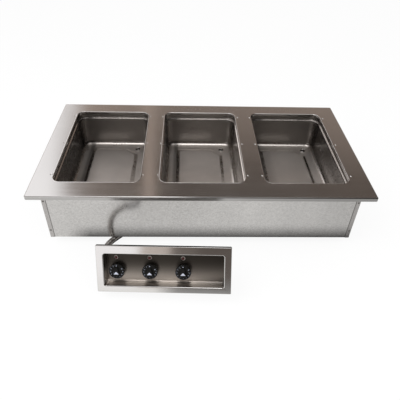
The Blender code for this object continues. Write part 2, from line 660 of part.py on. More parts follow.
def build_bezel():
    mesh = bmesh.new()
    thick = BEZEL_T
    back_depth = TRAY_DEPTH + thick
    # (inset, depth) from the face round the turned-back edge to the back
    edge = [(0.0018, 0), (0.0006, 0.0005), (0, 0.0018), (0, BEZEL_RETURN),
            (thick, BEZEL_RETURN), (thick, 0.0020), (0.0022, thick)]
    plate = stack(mesh, [upright(rounded_loop(0, BEZEL_UP, BEZEL_HALF_X - inset,
                                              BEZEL_HALF_Z - inset, BEZEL_CORNER_R - inset,
                                              depth, 3)) for inset, depth in edge])
    wall_end = TRAY_DEPTH - TRAY_BEND_R
    front = stack(mesh, tray_mouth([
        (TRAY_LIP_R, 0.0), (TRAY_LIP_R * 0.5, 0.0004), (TRAY_LIP_R * 0.134, 0.0015),
        (0, TRAY_LIP_R), (TRAY_WALL_GROW, wall_end),
    ]) + tray_bend(TRAY_BEND_R, (-0.0004, -0.0005, -0.0019)))
    back = stack(mesh, tray_mouth([
        (TRAY_LIP_R, thick), (thick + 0.0004, TRAY_LIP_R), (thick, wall_end),
    ]) + tray_bend(TRAY_BEND_R + thick, (thick, thick - 0.0001, -0.0004)))
    bridge(mesh, plate[0], front[0])
    bridge(mesh, plate[-1], back[0])

    fronts, backs = [front[-1]], [back[-1]]
    for knob_x, lamp_x in zip(KNOB_X, LAMP_X):
        for x, z, radius in ((knob_x, KNOB_Z, BUSHING_HOLE_R), (lamp_x, LAMP_Z, LAMP_HOLE_R)):
            hole = stack(mesh, [upright(circle(x, z, radius, depth, 14))
                                for depth in (TRAY_DEPTH, back_depth)])
            fronts.append(hole[0])
            backs.append(hole[1])
    for side in (-1, 1):
        stud = stack(mesh, [upright(circle(side * STUD_X, 0, STUD_R, depth, 10))
                            for depth in (back_depth, back_depth + STUD_LENGTH)])
        fill(mesh, stud[1])
        backs.append(stud[0])
    fill(mesh, *fronts)
    fill(mesh, *backs)
    finish(mesh, "control_bezel", STEEL, BOX_MATRIX, 40)


def cover_loops(stations):
    return [upright(rounded_loop(0, 0, COVER_HALF_X + grow_x, COVER_HALF_Z + grow_z,
                                 radius, depth, 3)) for grow_x, grow_z, depth, radius in stations]


def build_cover():
    mesh = bmesh.new()
    thick, flange = COVER_T, 0.0078
    flange_back = BEHIND_TRAY + thick
    wall_z = -0.0002
    bevel_depth = COVER_DEPTH - 0.002
    # (growth in X, growth in Z, depth, corner radius): flange, wall, back
    outer = stack(mesh, cover_loops([
        (flange, 0, BEHIND_TRAY, 0.002), (flange, 0, flange_back, 0.002),
        (0, wall_z, flange_back, 0.002), (0, wall_z, bevel_depth, 0.002),
        (-0.002, wall_z - 0.002, COVER_DEPTH, 0.001)]))
    inner = stack(mesh, cover_loops([
        (-thick - 0.001, wall_z - thick - 0.001, COVER_DEPTH - thick, 0.001),
        (-thick, wall_z - thick, bevel_depth, 0.001),
        (-thick, wall_z - thick, BEHIND_TRAY, 0.001)]))
    bridge(mesh, inner[-1], outer[0])
    entry = stack(mesh, [upright(circle(BOX_ELBOW_X, 0, CONNECTOR_HOLE_R, depth, 24))
                         for depth in (COVER_DEPTH, COVER_DEPTH - thick)])
    fill(mesh, outer[-1], entry[0])
    fill(mesh, inner[0], entry[1])
    cover = finish(mesh, "control_box_cover", GALVANISED, BOX_MATRIX)
    spots = [BOX_MATRIX @ Vector((side * STUD_X, BEHIND_TRAY + thick / 2, 0)) for side in (-1, 1)]
    drill(cover, spots, BOX_MATRIX.to_3x3() @ Vector((0, 1, 0)), radius=0.0023, length=0.006)
    nut = [(0.0031, 0.0), (0.0031, -0.0032), (0.0022, -0.0032), (0.0022, 0.0)]
    for number, side in ((1, -1), (2, 1)):
        lathe("cover_nut_%d" % number, nut, ZINC,
              on_panel(side * STUD_X, 0, flange_back + GAP), sides=6)


# ---------------------------------------------------------------- controls
# Heights in this section are in the on_panel frame: minus the depth behind the bezel face.
THERMOSTAT_BACK = -0.0655
BUSHING_TOP = -(TRAY_DEPTH - 0.0045)
BUSHING_R, BUSHING_BORE_R, BUSHING_BORE_END = 0.0047, 0.0034, -0.0600
TAB_HALF_X, TAB_HALF_Y, TAB_LENGTH = 0.00315, 0.0004, 0.0060
KNOB_R = 0.02675
KNOB_BORE_R, KNOB_BORE_END = 0.0033, -0.0226
GRIP_TAPER = 0.38


def build_thermostat(number, frame):
    """Body behind the tray, with a bored bushing through it and four blade tabs."""
    mesh = bmesh.new()
    front = -BEHIND_TRAY
    body = stack(mesh, [rounded_loop(0, 0, half, half, 0.003, z, 3) for half, z in (
        (0.0180, front), (0.0188, front - 0.001),
        (0.0188, THERMOSTAT_BACK + 0.001), (0.0180, THERMOSTAT_BACK))])
    bushing = stack(mesh, [circle(0, 0, radius, z, 20) for radius, z in (
        (BUSHING_R, front), (BUSHING_R, BUSHING_TOP),
        (BUSHING_BORE_R, BUSHING_TOP), (BUSHING_BORE_R, BUSHING_BORE_END))])
    fill(mesh, bushing[-1])
    fill(mesh, body[0], bushing[0])
    backs = [body[-1]]
    for x in (-0.012, 0.012):
        for y in (-0.010, 0.010):
            tab = stack(mesh, [rectangle(x - TAB_HALF_X, y - TAB_HALF_Y,
                                         x + TAB_HALF_X, y + TAB_HALF_Y, z)
                               for z in (THERMOSTAT_BACK, THERMOSTAT_BACK - TAB_LENGTH)])
            fill(mesh, tab[1])
            backs.append(tab[0])
    fill(mesh, *backs)
    finish(mesh, "thermostat_%d" % number, BEIGE, frame)


def grip_loop(half_x, half_y, z):
    """Finger grip, wider toward its lower end."""
    return [Vector((p.x * (1 - GRIP_TAPER * p.y / half_y), p.y, p.z))
            for p in rounded_loop(0, 0, half_x, half_y, 0.0052, z, 4)]


def build_knob(number, frame):
    """Hub behind a thin dial disc, raised grip, blind bore for the shaft."""
    mesh = bmesh.new()
    # (radius, height) from the bore's mouth out round the disc to its face
    profile = [(KNOB_BORE_R, -0.0350), (0.0150, -0.0350), (0.0165, -0.0340), (0.0170, -0.0248),
               (KNOB_R - 0.0010, -0.0246), (KNOB_R, -0.0238), (KNOB_R, -0.0225),
               (KNOB_R - 0.0010, -0.0212), (KNOB_R - 0.0035, -0.0206), (KNOB_R - 0.0080, -0.0200)]
    hub = stack(mesh, [circle(0, 0, radius, z, 30) for radius, z in profile])
    bore = ring(mesh, circle(0, 0, KNOB_BORE_R, KNOB_BORE_END, 30))
    bridge(mesh, bore, hub[0])
    fill(mesh, bore)
    grip = stack(mesh, [grip_loop(0.0092, 0.0176, -0.0200), grip_loop(0.0084, 0.0168, -0.0140),
                        grip_loop(0.0074, 0.0158, -0.0128)])
    fill(mesh, grip[-1])
    fill(mesh, hub[-1], grip[0])
    finish(mesh, "knob_%d" % number, BLACK, frame, 40)


def build_lamp(number, frame):
    seat = -(TRAY_DEPTH - 0.0002)
    lathe("lamp_ring_%d" % number,
          [(0.0054, seat + 0.0030), (0.0064, seat + 0.0030), (0.0077, seat + 0.0012),
           (0.0079, seat), (0.0059, seat), (0.0059, -0.0560), (0.0054, -0.0560)],
          CHROME, frame, sides=18, angle=45)
    lathe("lamp_lens_%d" % number,
          [(0, seat + 0.0052), (0.0022, seat + 0.0049), (0.0040, seat + 0.0038),
           (0.0050, seat + 0.0018), (0.0051, seat - 0.0010), (0.0051, -0.0580), (0, -0.0580)],
          RED, frame, sides=14, closed=False, angle=45)


def build_control(number):
    frame = on_panel(KNOB_X[number - 1], KNOB_Z)
    build_thermostat(number, frame)
    lathe("knob_shaft_%d" % number,
          [(0, -0.0228), (0.0026, -0.0228), (0.0030, -0.0234),
           (0.0030, -0.0585), (0.0026, -0.0590), (0, -0.0590)],
          ZINC, frame, sides=14, closed=False)
    build_knob(number, frame)
    build_lamp(number, on_panel(LAMP_X[number - 1], LAMP_Z))


def build_terminal_block():
    """Barrier strip: six ways between thin ribs; outline in box X and depth."""
    x0, x1, half_z = 0.105, 0.165, 0.011
    rib_depth, rib = 0.0600, 0.002
    way_depth = rib_depth - 0.007
    ways = 6
    pitch = (x1 - x0) / ways
    outline = [(x0, BEHIND_TRAY)]
    for i in range(ways):
        x = x0 + i * pitch
        outline += [(x, rib_depth), (x + rib, rib_depth), (x + rib, way_depth),
                    (x + pitch, way_depth)]
    outline += [(x1, rib_depth), (x1 + rib, rib_depth), (x1 + rib, BEHIND_TRAY)]
    extrude("terminal_block", outline, -half_z, half_z, BLACK,
            lambda x, depth, z: Vector((x, depth, z)), BOX_MATRIX)


# ---------------------------------------------------------------- conduit run
ELBOW_R, ELBOW_BORE_R = 0.0130, 0.0085
ELBOW_LEAD = 0.0065                 # straight from the sheet to the bend
NIPPLE_R, COLLAR_R = 0.0108, 0.0150
SOCKET_R, SOCKET_BORE_R, SOCKET_LENGTH = 0.0146, 0.0118, 0.0125
CONDUIT_R, CONDUIT_BORE_R = 0.01125, 0.0095
CONDUIT_INSERT = 0.0112             # length inside each socket
WIRE_R = 0.0055
# points the conduit passes through between the two elbows
CONDUIT_POINTS = [Vector(point) for point in (
    (-0.3310, -0.2825, -0.0165), (-0.3455, -0.3130, -0.0070), (-0.3535, -0.3425, 0.0010),
    (-0.3552, -0.3680, 0.0090), (-0.3475, -0.3950, 0.0180), (-0.3280, -0.4150, 0.0270),
)]


def bend_path(start, into, out):
    """Straight lead, 90 degree bend, straight tail."""
    corner = start + into * ELBOW_LEAD
    centre = corner + out * BEND_R
    points = [start, corner]
    for i in range(1, 5):
        angle = math.radians(90 * i / 4)
        points.append(centre - out * (BEND_R * math.cos(angle)) + into * (BEND_R * math.sin(angle)))
    points.append(points[-1] + out * (ELBOW_TAIL - 0.001))
    return points


def build_elbow(name, start, into, out, thread):
    """Connector: nipple through the sheet, collar just outside it, bend, conduit socket."""
    body = bend_path(start, into, out)
    # (distance from the sheet, radius) up to the bend
    stations = [(-thread, NIPPLE_R), (0.0003, NIPPLE_R), (0.00032, COLLAR_R),
                (0.003, COLLAR_R), (0.0034, ELBOW_R)]
    socket = body[-1] + out * 0.0006
    end = socket + out * SOCKET_LENGTH
    outer = [start + into * distance for distance, _ in stations] + body[1:] + [socket, end]
    outer_radii = [radius for _, radius in stations]
    outer_radii += [ELBOW_R] * (len(body) - 1) + [SOCKET_R] * 2
    inner = [outer[0], start + into * 0.003] + body[1:]
    inner += [end - out * 0.0118, end - out * 0.0116, end]
    inner_radii = [ELBOW_BORE_R] * (len(inner) - 2) + [SOCKET_BORE_R] * 2
    tube(name, outer, outer_radii, inner, inner_radii, ZINC, sides=14, angle=40)
    return body, end


def build_wires(pan_body, conduit, box_body, box_end):
    """From inside the casing, through both elbows and the conduit, into the box."""
    points = [Vector((PAN_ELBOW.x, PAN_ELBOW.y, z)) for z in (0.030, 0.008)]
    points += pan_body[:-1] + conduit + box_body[-2::-1] + [box_end]
    path = [points[0]]
    for point in points[1:]:
        if (point - path[-1]).length > 0.0015:
            path.append(point)
    rod("wire_bundle", path, WIRE_R, WIRE, sides=7)


def build_conduit_run():
    pan_body, pan_end = build_elbow("conduit_elbow_casing", PAN_ELBOW, Vector((0, 0, -1)),
                                    PAN_OUT, thread=0.0075)
    axes = BOX_MATRIX.to_3x3()
    back = (axes @ Vector((0, 1, 0))).normalized()
    left = (axes @ Vector((-1, 0, 0))).normalized()
    box_start = BOX_MATRIX @ Vector((BOX_ELBOW_X, COVER_DEPTH, 0))
    box_body, box_end = build_elbow("conduit_elbow_box", box_start, back, left, thread=0.0060)

    points = [pan_end + PAN_OUT * 0.002] + CONDUIT_POINTS + [box_end + left * 0.002]
    curve = hermite(points, PAN_OUT, -left, 3)
    path = [pan_end - PAN_OUT * CONDUIT_INSERT, pan_end] + curve
    path += [box_end, box_end - left * CONDUIT_INSERT]
    count = len(path)
    tube("flex_conduit", path, [CONDUIT_R] * count, path, [CONDUIT_BORE_R] * count,
         ZINC, sides=12, angle=50)
    build_wires(pan_body, curve, box_body, box_start - back * 0.0085)


# ---------------------------------------------------------------- build
build_deck()
build_casing()
for number, (well_x, drain_spot) in enumerate(zip(WELL_X, DRAIN_SPOTS), 1):
    build_well(number, well_x)
    build_drain(number, drain_spot)
    build_element(number, well_x)
    build_strap(number, well_x)
build_insulation_wrap()
build_insulation_bottom()
build_bezel()
build_cover()
for number in (1, 2, 3):
    build_control(number)
build_terminal_block()
build_conduit_run()
bpy.context.view_layer.update()
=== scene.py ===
# Looks for the three-well drop-in hot-food unit: fine sheet-metal pieces, materials, light and camera.
import bpy
import bmesh
import math
from mathutils import Vector, Matrix


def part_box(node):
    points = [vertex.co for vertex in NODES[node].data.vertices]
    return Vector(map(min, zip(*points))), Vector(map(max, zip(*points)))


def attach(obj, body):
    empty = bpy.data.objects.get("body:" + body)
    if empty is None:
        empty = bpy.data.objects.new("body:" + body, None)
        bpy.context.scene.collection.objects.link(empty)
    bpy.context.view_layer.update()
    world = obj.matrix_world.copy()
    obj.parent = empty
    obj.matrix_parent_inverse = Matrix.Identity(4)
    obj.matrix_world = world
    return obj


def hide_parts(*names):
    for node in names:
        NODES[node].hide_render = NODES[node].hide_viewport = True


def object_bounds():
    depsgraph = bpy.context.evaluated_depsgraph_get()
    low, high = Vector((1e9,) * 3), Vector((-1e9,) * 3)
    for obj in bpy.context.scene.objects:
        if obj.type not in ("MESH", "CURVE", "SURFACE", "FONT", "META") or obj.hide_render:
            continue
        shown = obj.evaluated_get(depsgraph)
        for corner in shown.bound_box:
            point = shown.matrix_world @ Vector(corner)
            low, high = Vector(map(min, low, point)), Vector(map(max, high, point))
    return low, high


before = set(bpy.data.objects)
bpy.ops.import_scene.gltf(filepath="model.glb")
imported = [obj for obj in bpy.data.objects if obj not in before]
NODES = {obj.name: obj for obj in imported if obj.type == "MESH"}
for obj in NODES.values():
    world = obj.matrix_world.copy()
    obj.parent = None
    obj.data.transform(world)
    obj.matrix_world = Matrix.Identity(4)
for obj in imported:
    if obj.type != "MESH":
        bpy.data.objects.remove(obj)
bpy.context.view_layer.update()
SCENE = bpy.context.scene
COL = SCENE.collection

# ------------------------------------------------------------------ sizes shared with the CAD
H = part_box("top_plate")[1].z
DECK_HX, DECK_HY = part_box("top_plate")[1].x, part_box("top_plate")[1].y
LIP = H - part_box("top_plate")[0].z
DECK_T, DECK_R, LIP_RETURN = 0.0015, 0.004, 0.012
PITCH = 0.381
OPEN_HX, OPEN_HY, OPEN_R, OPEN_CY = 0.154, 0.2525, 0.028, 0.007
WELL_DEPTH, WELL_T = 0.160, 0.001
DRAIN_DX, DRAIN_DY, PLATFORM_H = 0.100, 0.199, 0.006
CASE_HX, CASE_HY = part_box("casing_end_right")[1].x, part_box("casing_end_right")[1].y
BEZ_W, BEZ_H, BEZ_T = 0.4445, 0.1636, 0.0012
BEZ_OPEN_HX, BEZ_OPEN_HY, BEZ_RETURN, RECESS, BEZ_DY = 0.1980, 0.0565, 0.012, 0.040, 0.0033
BEZ_C = Vector((-0.133, -0.5304, 0.0821))
BEZ_N = Vector((-0.076, -0.901, 0.428)).normalized()
BEZ_X = Vector((0.997, -0.061, 0.042))
BEZ_X = (BEZ_X - BEZ_N * BEZ_X.dot(BEZ_N)).normalized()
BEZ_UP = BEZ_N.cross(BEZ_X)
KNOB_X, KNOB_Y, KNOB_R = (-0.1606, -0.0490, 0.0626), -0.0137, 0.02675
LAMP_X, LAMP_Y = (-0.1641, -0.0510, 0.0616), 0.0303
COVER_HX, COVER_D, BOX_ELBOW_X = 0.182, 0.074, -0.130
CONDUIT_R, CONDUIT_RI = 0.01125, 0.0095
RIVETS = ((-1, 0.176), (-1, 0.036), (1, 0.176), (1, 0.036))
BOXM = Matrix.Identity(4)
for i in range(3):
    BOXM[i][0], BOXM[i][1], BOXM[i][2], BOXM[i][3] = BEZ_X[i], -BEZ_N[i], BEZ_UP[i], BEZ_C[i]


# ------------------------------------------------------------------ material kit
class Mat:
    def __init__(self, name):
        self.m = bpy.data.materials.new(name)
        self.m.use_nodes = True
        self.nt = self.m.node_tree
        self.p = self.nt.nodes["Principled BSDF"]

    def node(self, kind, **props):
        n = self.nt.nodes.new(kind)
        for k, v in props.items():
            setattr(n, k, v)
        return n

    def link(self, a, b):
        self.nt.links.new(a, b)

    def coords(self, scale=(1, 1, 1), rot=(0, 0, 0)):
        tc = self.node("ShaderNodeTexCoord")
        mp = self.node("ShaderNodeMapping")
        mp.inputs["Scale"].default_value = scale
        mp.inputs["Rotation"].default_value = rot
        self.link(tc.outputs["Object"], mp.inputs["Vector"])
        return mp.outputs["Vector"]

    def noise(self, vec, scale, detail=2.0, rough=0.5, distortion=0.0):
        n = self.node("ShaderNodeTexNoise")
        n.inputs["Scale"].default_value = scale
        n.inputs["Detail"].default_value = detail
        n.inputs["Roughness"].default_value = rough
        n.inputs["Distortion"].default_value = distortion
        self.link(vec, n.inputs["Vector"])
        return n.outputs["Fac"]

    def remap(self, fac, lo, hi, a=0.0, b=1.0):
        n = self.node("ShaderNodeMapRange")
        n.inputs["From Min"].default_value = a
        n.inputs["From Max"].default_value = b
        n.inputs["To Min"].default_value = lo
        n.inputs["To Max"].default_value = hi
        self.link(fac, n.inputs["Value"])
        return n.outputs["Result"]

    def math(self, op, a, b=None, clamp=False):
        n = self.node("ShaderNodeMath", operation=op, use_clamp=clamp)
        for i, v in enumerate((a, b)):
            if v is None:
                continue
            if isinstance(v, (int, float)):
                n.inputs[i].default_value = v
            else:
                self.link(v, n.inputs[i])
        return n.outputs[0]

    def mix(self, fac, a, b):
        n = self.node("ShaderNodeMix", data_type="RGBA")
        for s, v in ((0, fac), (6, a), (7, b)):
            if isinstance(v, (int, float)):
                n.inputs[s].default_value = v
            elif isinstance(v, tuple):
                n.inputs[s].default_value = (*v, 1.0)
            else:
                self.link(v, n.inputs[s])
        return n.outputs[2]

    def bump(self, height, strength, distance, normal=None):
        n = self.node("ShaderNodeBump")
        n.inputs["Strength"].default_value = strength
        n.inputs["Distance"].default_value = distance
        self.link(height, n.inputs["Height"])
        if normal is not None:
            self.link(normal, n.inputs["Normal"])
        return n.outputs["Normal"]

    def set(self, name, v):
        s = self.p.inputs[name]
        if isinstance(v, tuple):
            s.default_value = (*v, 1.0) if len(v) == 3 and s.type == "RGBA" else v
        elif isinstance(v, (int, float)):
            s.default_value = v
        else:
            self.link(v, s)


def vconst(m, v):
    n = m.node("ShaderNodeCombineXYZ")
    for i in range(3):
        n.inputs[i].default_value = v[i]
    return n.outputs[0]


def edge_mask(m, radius=0.0008):
    # how far the rounded normal leaves the true one: 1 on edges
    b = m.node("ShaderNodeBevel", samples=4)
    b.inputs["Radius"].default_value = radius
    g = m.node("ShaderNodeNewGeometry")
    d = m.node("ShaderNodeVectorMath", operation="DOT_PRODUCT")
    m.link(b.outputs["Normal"], d.inputs[0])
    m.link(g.outputs["Normal"], d.inputs[1])
    return m.remap(d.outputs["Value"], 1.0, 0.0, 0.80, 0.995)


def brushed(name, base, rough, along, smear, aniso=0.75, grain=1.0, tint=0.06):
    """Brushed stainless: along = axis index of the grain, smear = world direction reflections stretch in."""
    m = Mat(name)
    sc = [900.0, 900.0, 900.0]
    sc[along] = 7.0
    fine = m.noise(m.coords(tuple(sc)), 1.0, 3.0, 0.6)
    sc2 = [120.0, 120.0, 120.0]
    sc2[along] = 2.2
    band = m.noise(m.coords(tuple(sc2)), 1.0, 2.0, 0.5)
    cloud = m.noise(m.coords(), 5.0, 4.0, 0.55, 0.3)
    a = m.math("ADD", m.remap(fine, -0.5, 0.5), m.math("MULTIPLY", m.remap(band, -0.5, 0.5), 0.8))
    col = m.mix(m.math("ADD", m.math("MULTIPLY", a, tint * 4), 0.5, True), tuple(c * (1 - tint) for c in base), tuple(min(1, c * (1 + tint)) for c in base))
    col = m.mix(m.remap(cloud, 0.0, 0.35, 0.45, 0.75), col, tuple(c * 0.94 for c in base))
    # painted shade: the turned-down lip is unbrushed, and its front face and the bend above it are painted darker
    # toward the right, a tone fitted to one lighting, not a known property
    g = m.node("ShaderNodeNewGeometry")
    gn = m.node("ShaderNodeSeparateXYZ")
    m.link(g.outputs["Normal"], gn.inputs[0])
    q = m.node("ShaderNodeSeparateXYZ")
    m.link(m.coords(), q.inputs[0])
    facing = m.remap(gn.outputs[1], 0.0, 1.0, -0.80, -0.97)
    bend = m.math("MULTIPLY", m.remap(gn.outputs[1], 0.0, 1.0, -0.12, -0.30), m.math("SUBTRACT", 1.0, facing))
    bend = m.math("MULTIPLY", bend, m.remap(q.outputs[1], 1.0, 0.0, -0.325, -0.318))
    facing = m.math("MULTIPLY", facing, m.remap(q.outputs[1], 1.0, 0.0, -0.325, -0.318))
    col = m.mix(m.math("MULTIPLY", facing, m.remap(q.outputs[0], 0.28, 0.46, 0.02, 0.16)), col, (0.02, 0.018, 0.016))
    col = m.mix(m.math("MULTIPLY", bend, m.remap(q.outputs[0], 0.0, 0.78, -0.13, -0.02)), col, (0.02, 0.018, 0.016))
    m.set("Base Color", col)
    m.set("Metallic", 1.0)
    r = m.math("ADD", m.math("MULTIPLY", a, 0.10 * grain), rough)
    r = m.math("ADD", r, m.math("MULTIPLY", m.remap(cloud, -0.5, 0.5), 0.10))
    m.set("Roughness", m.math("MAXIMUM", r, 0.08))
    m.set("Anisotropic", aniso)
    m.set("Tangent", vconst(m, smear))
    m.set("Normal", m.bump(m.math("ADD", fine, m.math("MULTIPLY", band, 0.6)), 0.05 * grain, 0.0002))
    return m.m


def drawn_steel(name, base, rough):
    """Deep-drawn stainless: satin, with faint draw lines and water haze, plus painted shade on its walls and corners.
    """
    m = Mat(name)
    m.set("Specular IOR Level", 0.5)
    fine = m.noise(m.coords((260, 260, 30)), 1.0, 3.0, 0.6)
    cloud = m.noise(m.coords(), 9.0, 5.0, 0.6, 0.6)
    spots = m.noise(m.coords(), 60.0, 2.0, 0.5)
    g = m.node("ShaderNodeNewGeometry")
    gz = m.node("ShaderNodeSeparateXYZ")
    m.link(g.outputs["Normal"], gz.inputs[0])
    flat_up = m.remap(gz.outputs[2], 0.0, 1.0, 0.35, 0.95)
    # painted shade: walls are toned darker and floors lighter by how far each face points up, fitted to one lighting
    painted_wall_shade = m.mix(flat_up, tuple(c * 0.60 for c in base), tuple(min(1, c * 1.22) for c in base))
    haze = m.mix(m.remap(cloud, 0.0, 1.0, 0.3, 0.75), (0.93, 0.93, 0.93), (1.05, 1.045, 1.04))
    mul = m.node("ShaderNodeMix", data_type="RGBA", blend_type="MULTIPLY")
    mul.inputs[0].default_value = 1.0
    m.link(painted_wall_shade, mul.inputs[6])
    m.link(haze, mul.inputs[7])
    # painted shade, a tone fitted to one lighting and not known wear: a darker band along the left side of the gutter
    px = m.node("ShaderNodeSeparateXYZ")
    m.link(m.coords(), px.inputs[0])
    wrap = m.node("ShaderNodeMath", operation="WRAP")
    m.link(px.outputs[0], wrap.inputs[0])
    wrap.inputs[1].default_value, wrap.inputs[2].default_value = PITCH / 2, -PITCH / 2
    gutter = m.math("MULTIPLY", m.math("MULTIPLY", m.remap(wrap.outputs[0], 0.0, 1.0, -0.096, -0.102), m.remap(wrap.outputs[0], 0.0, 1.0, -0.122, -0.111)), flat_up)
    body = m.mix(m.math("MULTIPLY", gutter, 0.60), mul.outputs[2], (0.10, 0.095, 0.09))
    # painted shade, tones fitted to one lighting and not known wear: darkened are the first well's floor and outer
    # wall, the last well's outer wall and, more lightly, its other walls, the floor beside each left wall and the left
    # end of each back fillet
    first = m.remap(px.outputs[0], 1.0, 0.0, -0.21, -0.17)
    last = m.remap(px.outputs[0], 0.0, 1.0, 0.17, 0.21)
    level = m.remap(gz.outputs[2], 0.0, 1.0, 0.88, 0.97)
    lw = m.math("MULTIPLY", m.remap(gz.outputs[0], 0.0, 0.46, 0.45, 0.75), first)
    rw = m.math("MULTIPLY", m.remap(gz.outputs[0], 0.0, 0.34, -0.45, -0.75), last)
    lf = m.math("MULTIPLY", m.math("MULTIPLY", first, level), 0.20)
    bk = m.math("MULTIPLY", m.math("MULTIPLY", last, m.math("SUBTRACT", 1.0, level)), 0.12)
    near_wall = m.math("MULTIPLY", m.math("MULTIPLY", level, m.math("ADD", 0.35, m.math("MULTIPLY", last, 0.65))), m.remap(wrap.outputs[0], 0.30, 0.0, -0.098, -0.050))
    start = m.math("MULTIPLY", m.math("MULTIPLY", m.remap(gz.outputs[1], 0.0, 1.0, -0.20, -0.45), m.remap(gz.outputs[2], 0.0, 1.0, 0.20, 0.40)), m.remap(wrap.outputs[0], 0.70, 0.0, -0.112, -0.078))
    keep = m.math("SUBTRACT", 1.0, lw)
    for v in (rw, lf, bk, near_wall, start):
        keep = m.math("MULTIPLY", keep, m.math("SUBTRACT", 1.0, v))
    m.set("Base Color", m.mix(keep, (0.0, 0.0, 0.0), body))
    m.set("Metallic", 1.0)
    across = m.math("ABSOLUTE", gz.outputs[1])
    r = m.math("ADD", m.math("MULTIPLY", m.remap(cloud, -0.5, 0.5), 0.08), m.math("ADD", rough - 0.06, m.math("MULTIPLY", m.remap(gz.outputs[2], 0.0, 1.0, 0.93, 0.995), 0.13)))
    r = m.math("ADD", r, m.math("MULTIPLY", m.remap(across, 0.0, 1.0, 0.85, 0.98), 0.18))
    r = m.math("ADD", r, m.math("MULTIPLY", m.remap(fine, -0.5, 0.5), 0.06))
    r = m.math("ADD", r, m.math("MULTIPLY", m.remap(spots, -0.5, 0.5), 0.03))
    m.set("Roughness", m.math("MAXIMUM", r, 0.08))
    m.set("Normal", m.bump(m.math("ADD", m.math("MULTIPLY", fine, 0.4), cloud), 0.02, 0.0005))
    return m.m


def bezel_steel(name, base):
    """Brushed frame whose sunk back plate is left in a duller mill finish, with painted shade darkening it toward its
    top and at its right end.
    """
    m = Mat(name)
    fine = m.noise(m.coords((6, 900, 900)), 1.0, 3.0, 0.6)
    band = m.noise(m.coords((2.5, 140, 140)), 1.0, 2.0, 0.5)
    haze = m.noise(m.coords(), 22.0, 4.0, 0.6, 0.5)
    sep = m.node("ShaderNodeSeparateXYZ")
    m.link(m.coords(), sep.inputs[0])
    sunk = m.remap(sep.outputs[1], 0.0, 1.0, RECESS - 0.006, RECESS - 0.002)
    a = m.math("ADD", m.remap(fine, -0.5, 0.5), m.math("MULTIPLY", m.remap(band, -0.5, 0.5), 0.7))
    col = m.mix(m.math("ADD", m.math("MULTIPLY", a, 0.25), 0.5, True), tuple(c * 0.93 for c in base), tuple(min(1, c * 1.06) for c in base))
    # painted shade: the sunk plate is dark at its top and pale toward its bottom, and at its right end stays dark lower
    # down
    fall = m.math("POWER", m.remap(sep.outputs[2], 0.0, 1.0, 0.050, -0.045), 3.8)
    dull = m.mix(haze, (0.95, 0.95, 0.95), (1.05, 1.05, 1.05))
    tone = m.mix(fall, (0.056, 0.049, 0.042), (0.74, 0.67, 0.60))
    tone = m.mix(m.math("MULTIPLY", m.math("MULTIPLY", m.remap(sep.outputs[0], 0.0, 1.0, 0.07, 0.19), fall), 0.75), tone, (0.01, 0.009, 0.008))
    mul = m.node("ShaderNodeMix", data_type="RGBA", blend_type="MULTIPLY")
    mul.inputs[0].default_value = 1.0
    m.link(tone, mul.inputs[6])
    m.link(dull, mul.inputs[7])
    dull = mul.outputs[2]
    # the turned-back flange is painted dark: partly its dark mill scale, partly painted shade of the bend
    rim = m.remap(m.math("ABSOLUTE", m.math("SUBTRACT", sep.outputs[2], BEZ_DY)), 0.0, 1.0, BEZ_H / 2 - 0.0008, BEZ_H / 2 - 0.0002)
    rim = m.math("MULTIPLY", rim, m.remap(sep.outputs[1], 0.0, 1.0, 0.0016, 0.0026))
    m.set("Base Color", m.mix(rim, m.mix(sunk, col, dull), (0.06, 0.055, 0.05)))
    m.set("Metallic", 1.0)
    shine = m.math("ADD", m.math("MULTIPLY", a, 0.05), 0.09)
    m.set("Roughness", m.math("ADD", m.math("MULTIPLY", sunk, 0.34), shine))
    m.set("Anisotropic", 0.65)
    m.set("Tangent", vconst(m, tuple(BEZ_UP)))
    m.set("Normal", m.bump(m.math("ADD", fine, m.math("MULTIPLY", band, 0.4)), 0.03, 0.0002))
    return m.m


